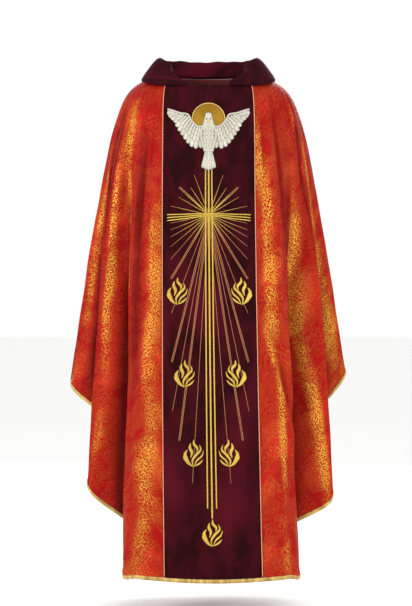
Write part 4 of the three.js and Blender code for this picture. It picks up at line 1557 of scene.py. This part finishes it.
@dataclass
class Dove:
    """The dove, wings spread, before its halo. Down is measured from the crown of its head."""

    drape: Drape
    crown_depth: float = 108
    halo_depth: float = 124
    halo_radius: float = 41
    halo_rim: float = 3

    def build(self) -> None:
        """Make the halo, then the dove's tail, wings, body and head."""
        self._halo()
        self._tail()
        for hand in Hand:
            self._wing(hand)
        self._body()
        self._head()

    def _at(self, points: Sequence[tuple[float, float]], side: int = 1) -> list[tuple[float, float]]:
        """Turn (out, down) points into x and z on the panel."""
        return [(side * x, -self.crown_depth - down) for x, down in points]

    def _halo(self) -> None:
        """Lay the halo's rings of thread and its raised edge."""
        disc = Stitcher(self.drape)
        inside = self.halo_radius - self.halo_rim
        for inner in np.arange(8.0, inside - 2, 5.0):
            disc.ring(self.halo_depth, inner, min(inner + 5.0, inside), 1.0, 0.5, (4, 72))
        disc.finish("halo_disc", HALO_GOLD, "gold_thread", ["halo_disc"])
        rim = Stitcher(self.drape)
        rim.ring(self.halo_depth, inside, self.halo_radius, 1.0, 1.3, (6, 96))
        rim.finish("halo_rim", HALO_EDGE, "gold_thread", ["halo_rim"])

    def _feathers(
        self, stitcher: Stitcher, roots: Sequence[tuple[float, float]], tips: Sequence[tuple[float, float]],
        count: int, width: float, base: float, side: int, bend: float = 0.0,
    ) -> None:
        """Lay a row of feathers between a line of roots and a line of tips.

        Args:
            stitcher: Where they go.
            roots: Points of the line that they grow from.
            tips: Points of the line that they reach.
            count: How many.
            width: The width of each.
            base: How high the first one lies.
            side: 1 or -1.
            bend: How far each curves aside.
        """
        shares = (np.arange(count) + 0.5) / count
        starts, _ = smooth_line(roots, shares)
        ends, _ = smooth_line(tips, shares)
        for i, (start, end) in enumerate(zip(starts, ends)):
            middle = (start + end) / 2 + np.array([bend, 0.0])
            line = self._at([tuple(start), tuple(middle), tuple(end)], side)
            tint = 0.3 + 0.5 * ((i * 7) % 5) / 4
            stitcher.strip(line, width, base + 0.25 * (i % 2), 1.0, Taper.FEATHER, 6, 12, tint)

    def _wing(self, hand: Hand) -> None:
        """Lay a wing: long feathers first, then two rows of shorter ones and the leading edge."""
        side = hand.value
        stitcher = Stitcher(self.drape)
        bone = [(14, 36), (27, 36), (40, 24), (50, 10), (66, 5), (84, -1)]
        edge = [(14, 87), (34, 89), (50, 77), (62, 60), (74, 42), (82, 23), (94, 10), (99, -4)]
        self._feathers(stitcher, bone, edge, 12, 13, 1.7, side, 2)

        def between(share: float) -> list[tuple[float, float]]:
            """Points at a share of the way from the bone to the edge."""
            where = np.linspace(0, 1, 7)
            near, _ = smooth_line(bone, where)
            far, _ = smooth_line(edge, where)
            return [tuple(point) for point in near + (far - near) * share]

        self._feathers(stitcher, between(0.02), between(0.66), 13, 10, 2.4, side, 1)
        self._feathers(stitcher, between(0.0), between(0.42), 13, 8.5, 3.0, side, 0.5)
        self._feathers(stitcher, between(-0.04), between(0.22), 13, 7, 3.4, side)
        arm = [(13, 33), (26, 34), (41, 20), (50, 5), (68, 1), (86, -6), (97, -9)]
        stitcher.strip(self._at(arm, side), 5, 2.8, 1.3, across=6, along=40)
        node = f"dove_wing_{hand.name.lower()}"
        stitcher.finish(node, SILVER, "silver_thread", [node])

    def _tail(self) -> None:
        """Lay the tail's fan of feathers."""
        stitcher = Stitcher(self.drape)
        for i, spread in enumerate((-1, 1, -0.66, 0.66, -0.33, 0.33, 0)):
            tip = 143 - 7 * abs(spread)
            line = self._at([(5 * spread, 84), (9 * spread, 110), (15.5 * spread, tip)])
            stitcher.strip(line, 8.5, 1.8 + 0.2 * i, 1.1, Taper.FEATHER, across=6, along=20)
        stitcher.finish("dove_tail", SILVER, "silver_thread", ["dove_tail"])

    def _body(self) -> None:
        """Lay the body's small feathers, in rows from its foot up to its breast."""
        stitcher = Stitcher(self.drape)
        rows = np.linspace(90, 36, 12)
        for i, down in enumerate(rows):
            half = np.interp(down, [34, 46, 64, 90], [12, 18, 17, 9])
            count = 5 if i % 2 else 6
            for x in np.linspace(-half, half, count):
                line = self._at([(x * 0.9, down - 7), (x, down), (x * 1.02, down + 6)])
                stitcher.strip(line, 7.5, 2.6 + 0.12 * i, 1.2, Taper.FEATHER, across=6, along=8)
        stitcher.finish("dove_body", SILVER, "silver_thread", ["dove_body"])

    def _head(self) -> None:
        """Lay the head and neck, then the eyes and the beak."""
        stitcher = Stitcher(self.drape)
        for x in (-6.5, 6.5, -3.4, 3.4, 0):
            line = self._at([(x * 1.9, 37), (x * 1.3, 24), (x * 0.9, 12), (x * 0.55, 1 + abs(x) * 0.3)])
            stitcher.strip(line, 8, 3.4, 1.5 - 0.05 * abs(x), across=6, along=20)
        stitcher.finish("dove_head", SILVER, "silver_thread", ["dove_head"])
        eyes = Stitcher(self.drape)
        for side in (-1, 1):
            eyes.strip(self._at([(4.2, 15), (5.4, 18.2)], side), 3.4, 4.9, 0.5, Taper.TONGUE, across=6, along=8)
        eyes.finish("dove_eyes", EYE_THREAD, "silver_thread", [])
        beak = Stitcher(self.drape)
        beak.strip(self._at([(0, 19), (0, 28)]), 5.5, 4.9, 1.0, Taper.TONGUE, across=6, along=10)
        beak.finish("dove_beak", HALO_EDGE, "gold_thread", [])


# ---------------------------------------------------------------- studio


@dataclass
class Studio:
    """A plain pale floor and backdrop, soft lights and the camera."""

    floor_height: float = -1.332
    camera_place: tuple[float, float, float] = (-0.006, -5.0, -0.57)
    focal_length: float = 118.8

    def build(self) -> None:
        """Make the floor, the lights and the camera."""
        self._floor()
        self._light("key", (-2.4, -3.2, 0.9), (70, 0, -37), 1.3, 80)
        self._light("fill", (2.8, -2.4, 0.5), (74, 0, 49), 2.0, 38)
        self._light("back", (0.6, 3.2, 1.4), (-64, 0, -10), 2.4, 90)
        self._world()
        self._camera()

    def _floor(self) -> None:
        """Spread a large sheet of background paper."""
        bm = bmesh.new()
        bmesh.ops.create_grid(bm, x_segments=4, y_segments=4, size=40.0)
        for vert in bm.verts:
            vert.co.z = self.floor_height
        mesh = bpy.data.meshes.new("floor")
        bm.to_mesh(mesh)
        bm.free()
        mesh.materials.append(StudioPaper("matt studio paper").material())
        floor = bpy.data.objects.new("floor", mesh)
        bpy.context.scene.collection.objects.link(floor)

    def _light(
        self, name: str, place: tuple[float, float, float], turn: tuple[float, float, float], size: float, power: float
    ) -> None:
        """Hang a square soft light.

        Args:
            name: Its name.
            place: Where it hangs, in metres.
            turn: Its turn about X, Y and Z, in degrees.
            size: Its side, in metres.
            power: In watts.
        """
        light = bpy.data.lights.new(name, "AREA")
        light.size = size
        light.energy = power
        lamp = bpy.data.objects.new(name, light)
        lamp.location = place
        lamp.rotation_euler = [math.radians(angle) for angle in turn]
        bpy.context.scene.collection.objects.link(lamp)

    def _world(self) -> None:
        """Fill the room with soft white light."""
        world = bpy.data.worlds.new("studio")
        bpy.context.scene.world = world
        world.use_nodes = True
        world.node_tree.nodes.clear()
        light = add_node(world.node_tree, "Background", None, {"Color": linear("#ffffff"), "Strength": 1.0})
        add_node(world.node_tree, "OutputWorld", None, {"Surface": light.outputs[0]})

    def _camera(self) -> None:
        """Set the camera level with the middle of the garment, on its centre line."""
        camera = bpy.data.cameras.new("camera")
        camera.lens = self.focal_length
        view = bpy.data.objects.new("camera", camera)
        view.location = self.camera_place
        view.rotation_euler = (math.radians(90), 0, 0)
        bpy.context.scene.collection.objects.link(view)
        bpy.context.scene.camera = view
        bpy.context.scene.view_settings.view_transform = "Standard"


def main() -> None:
    """Load the frame, then make the studio, the garment, its collar and its embroidery in order."""
    logging.basicConfig(level=logging.INFO, format="%(name)s: %(message)s")
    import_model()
    Studio().build()
    Garment(DRAPE).build()
    Collar(DRAPE).build()
    CrossAndRays(DRAPE).build()
    Flames(DRAPE).build()
    Dove(DRAPE).build()


if __name__ == "__main__":
    main()
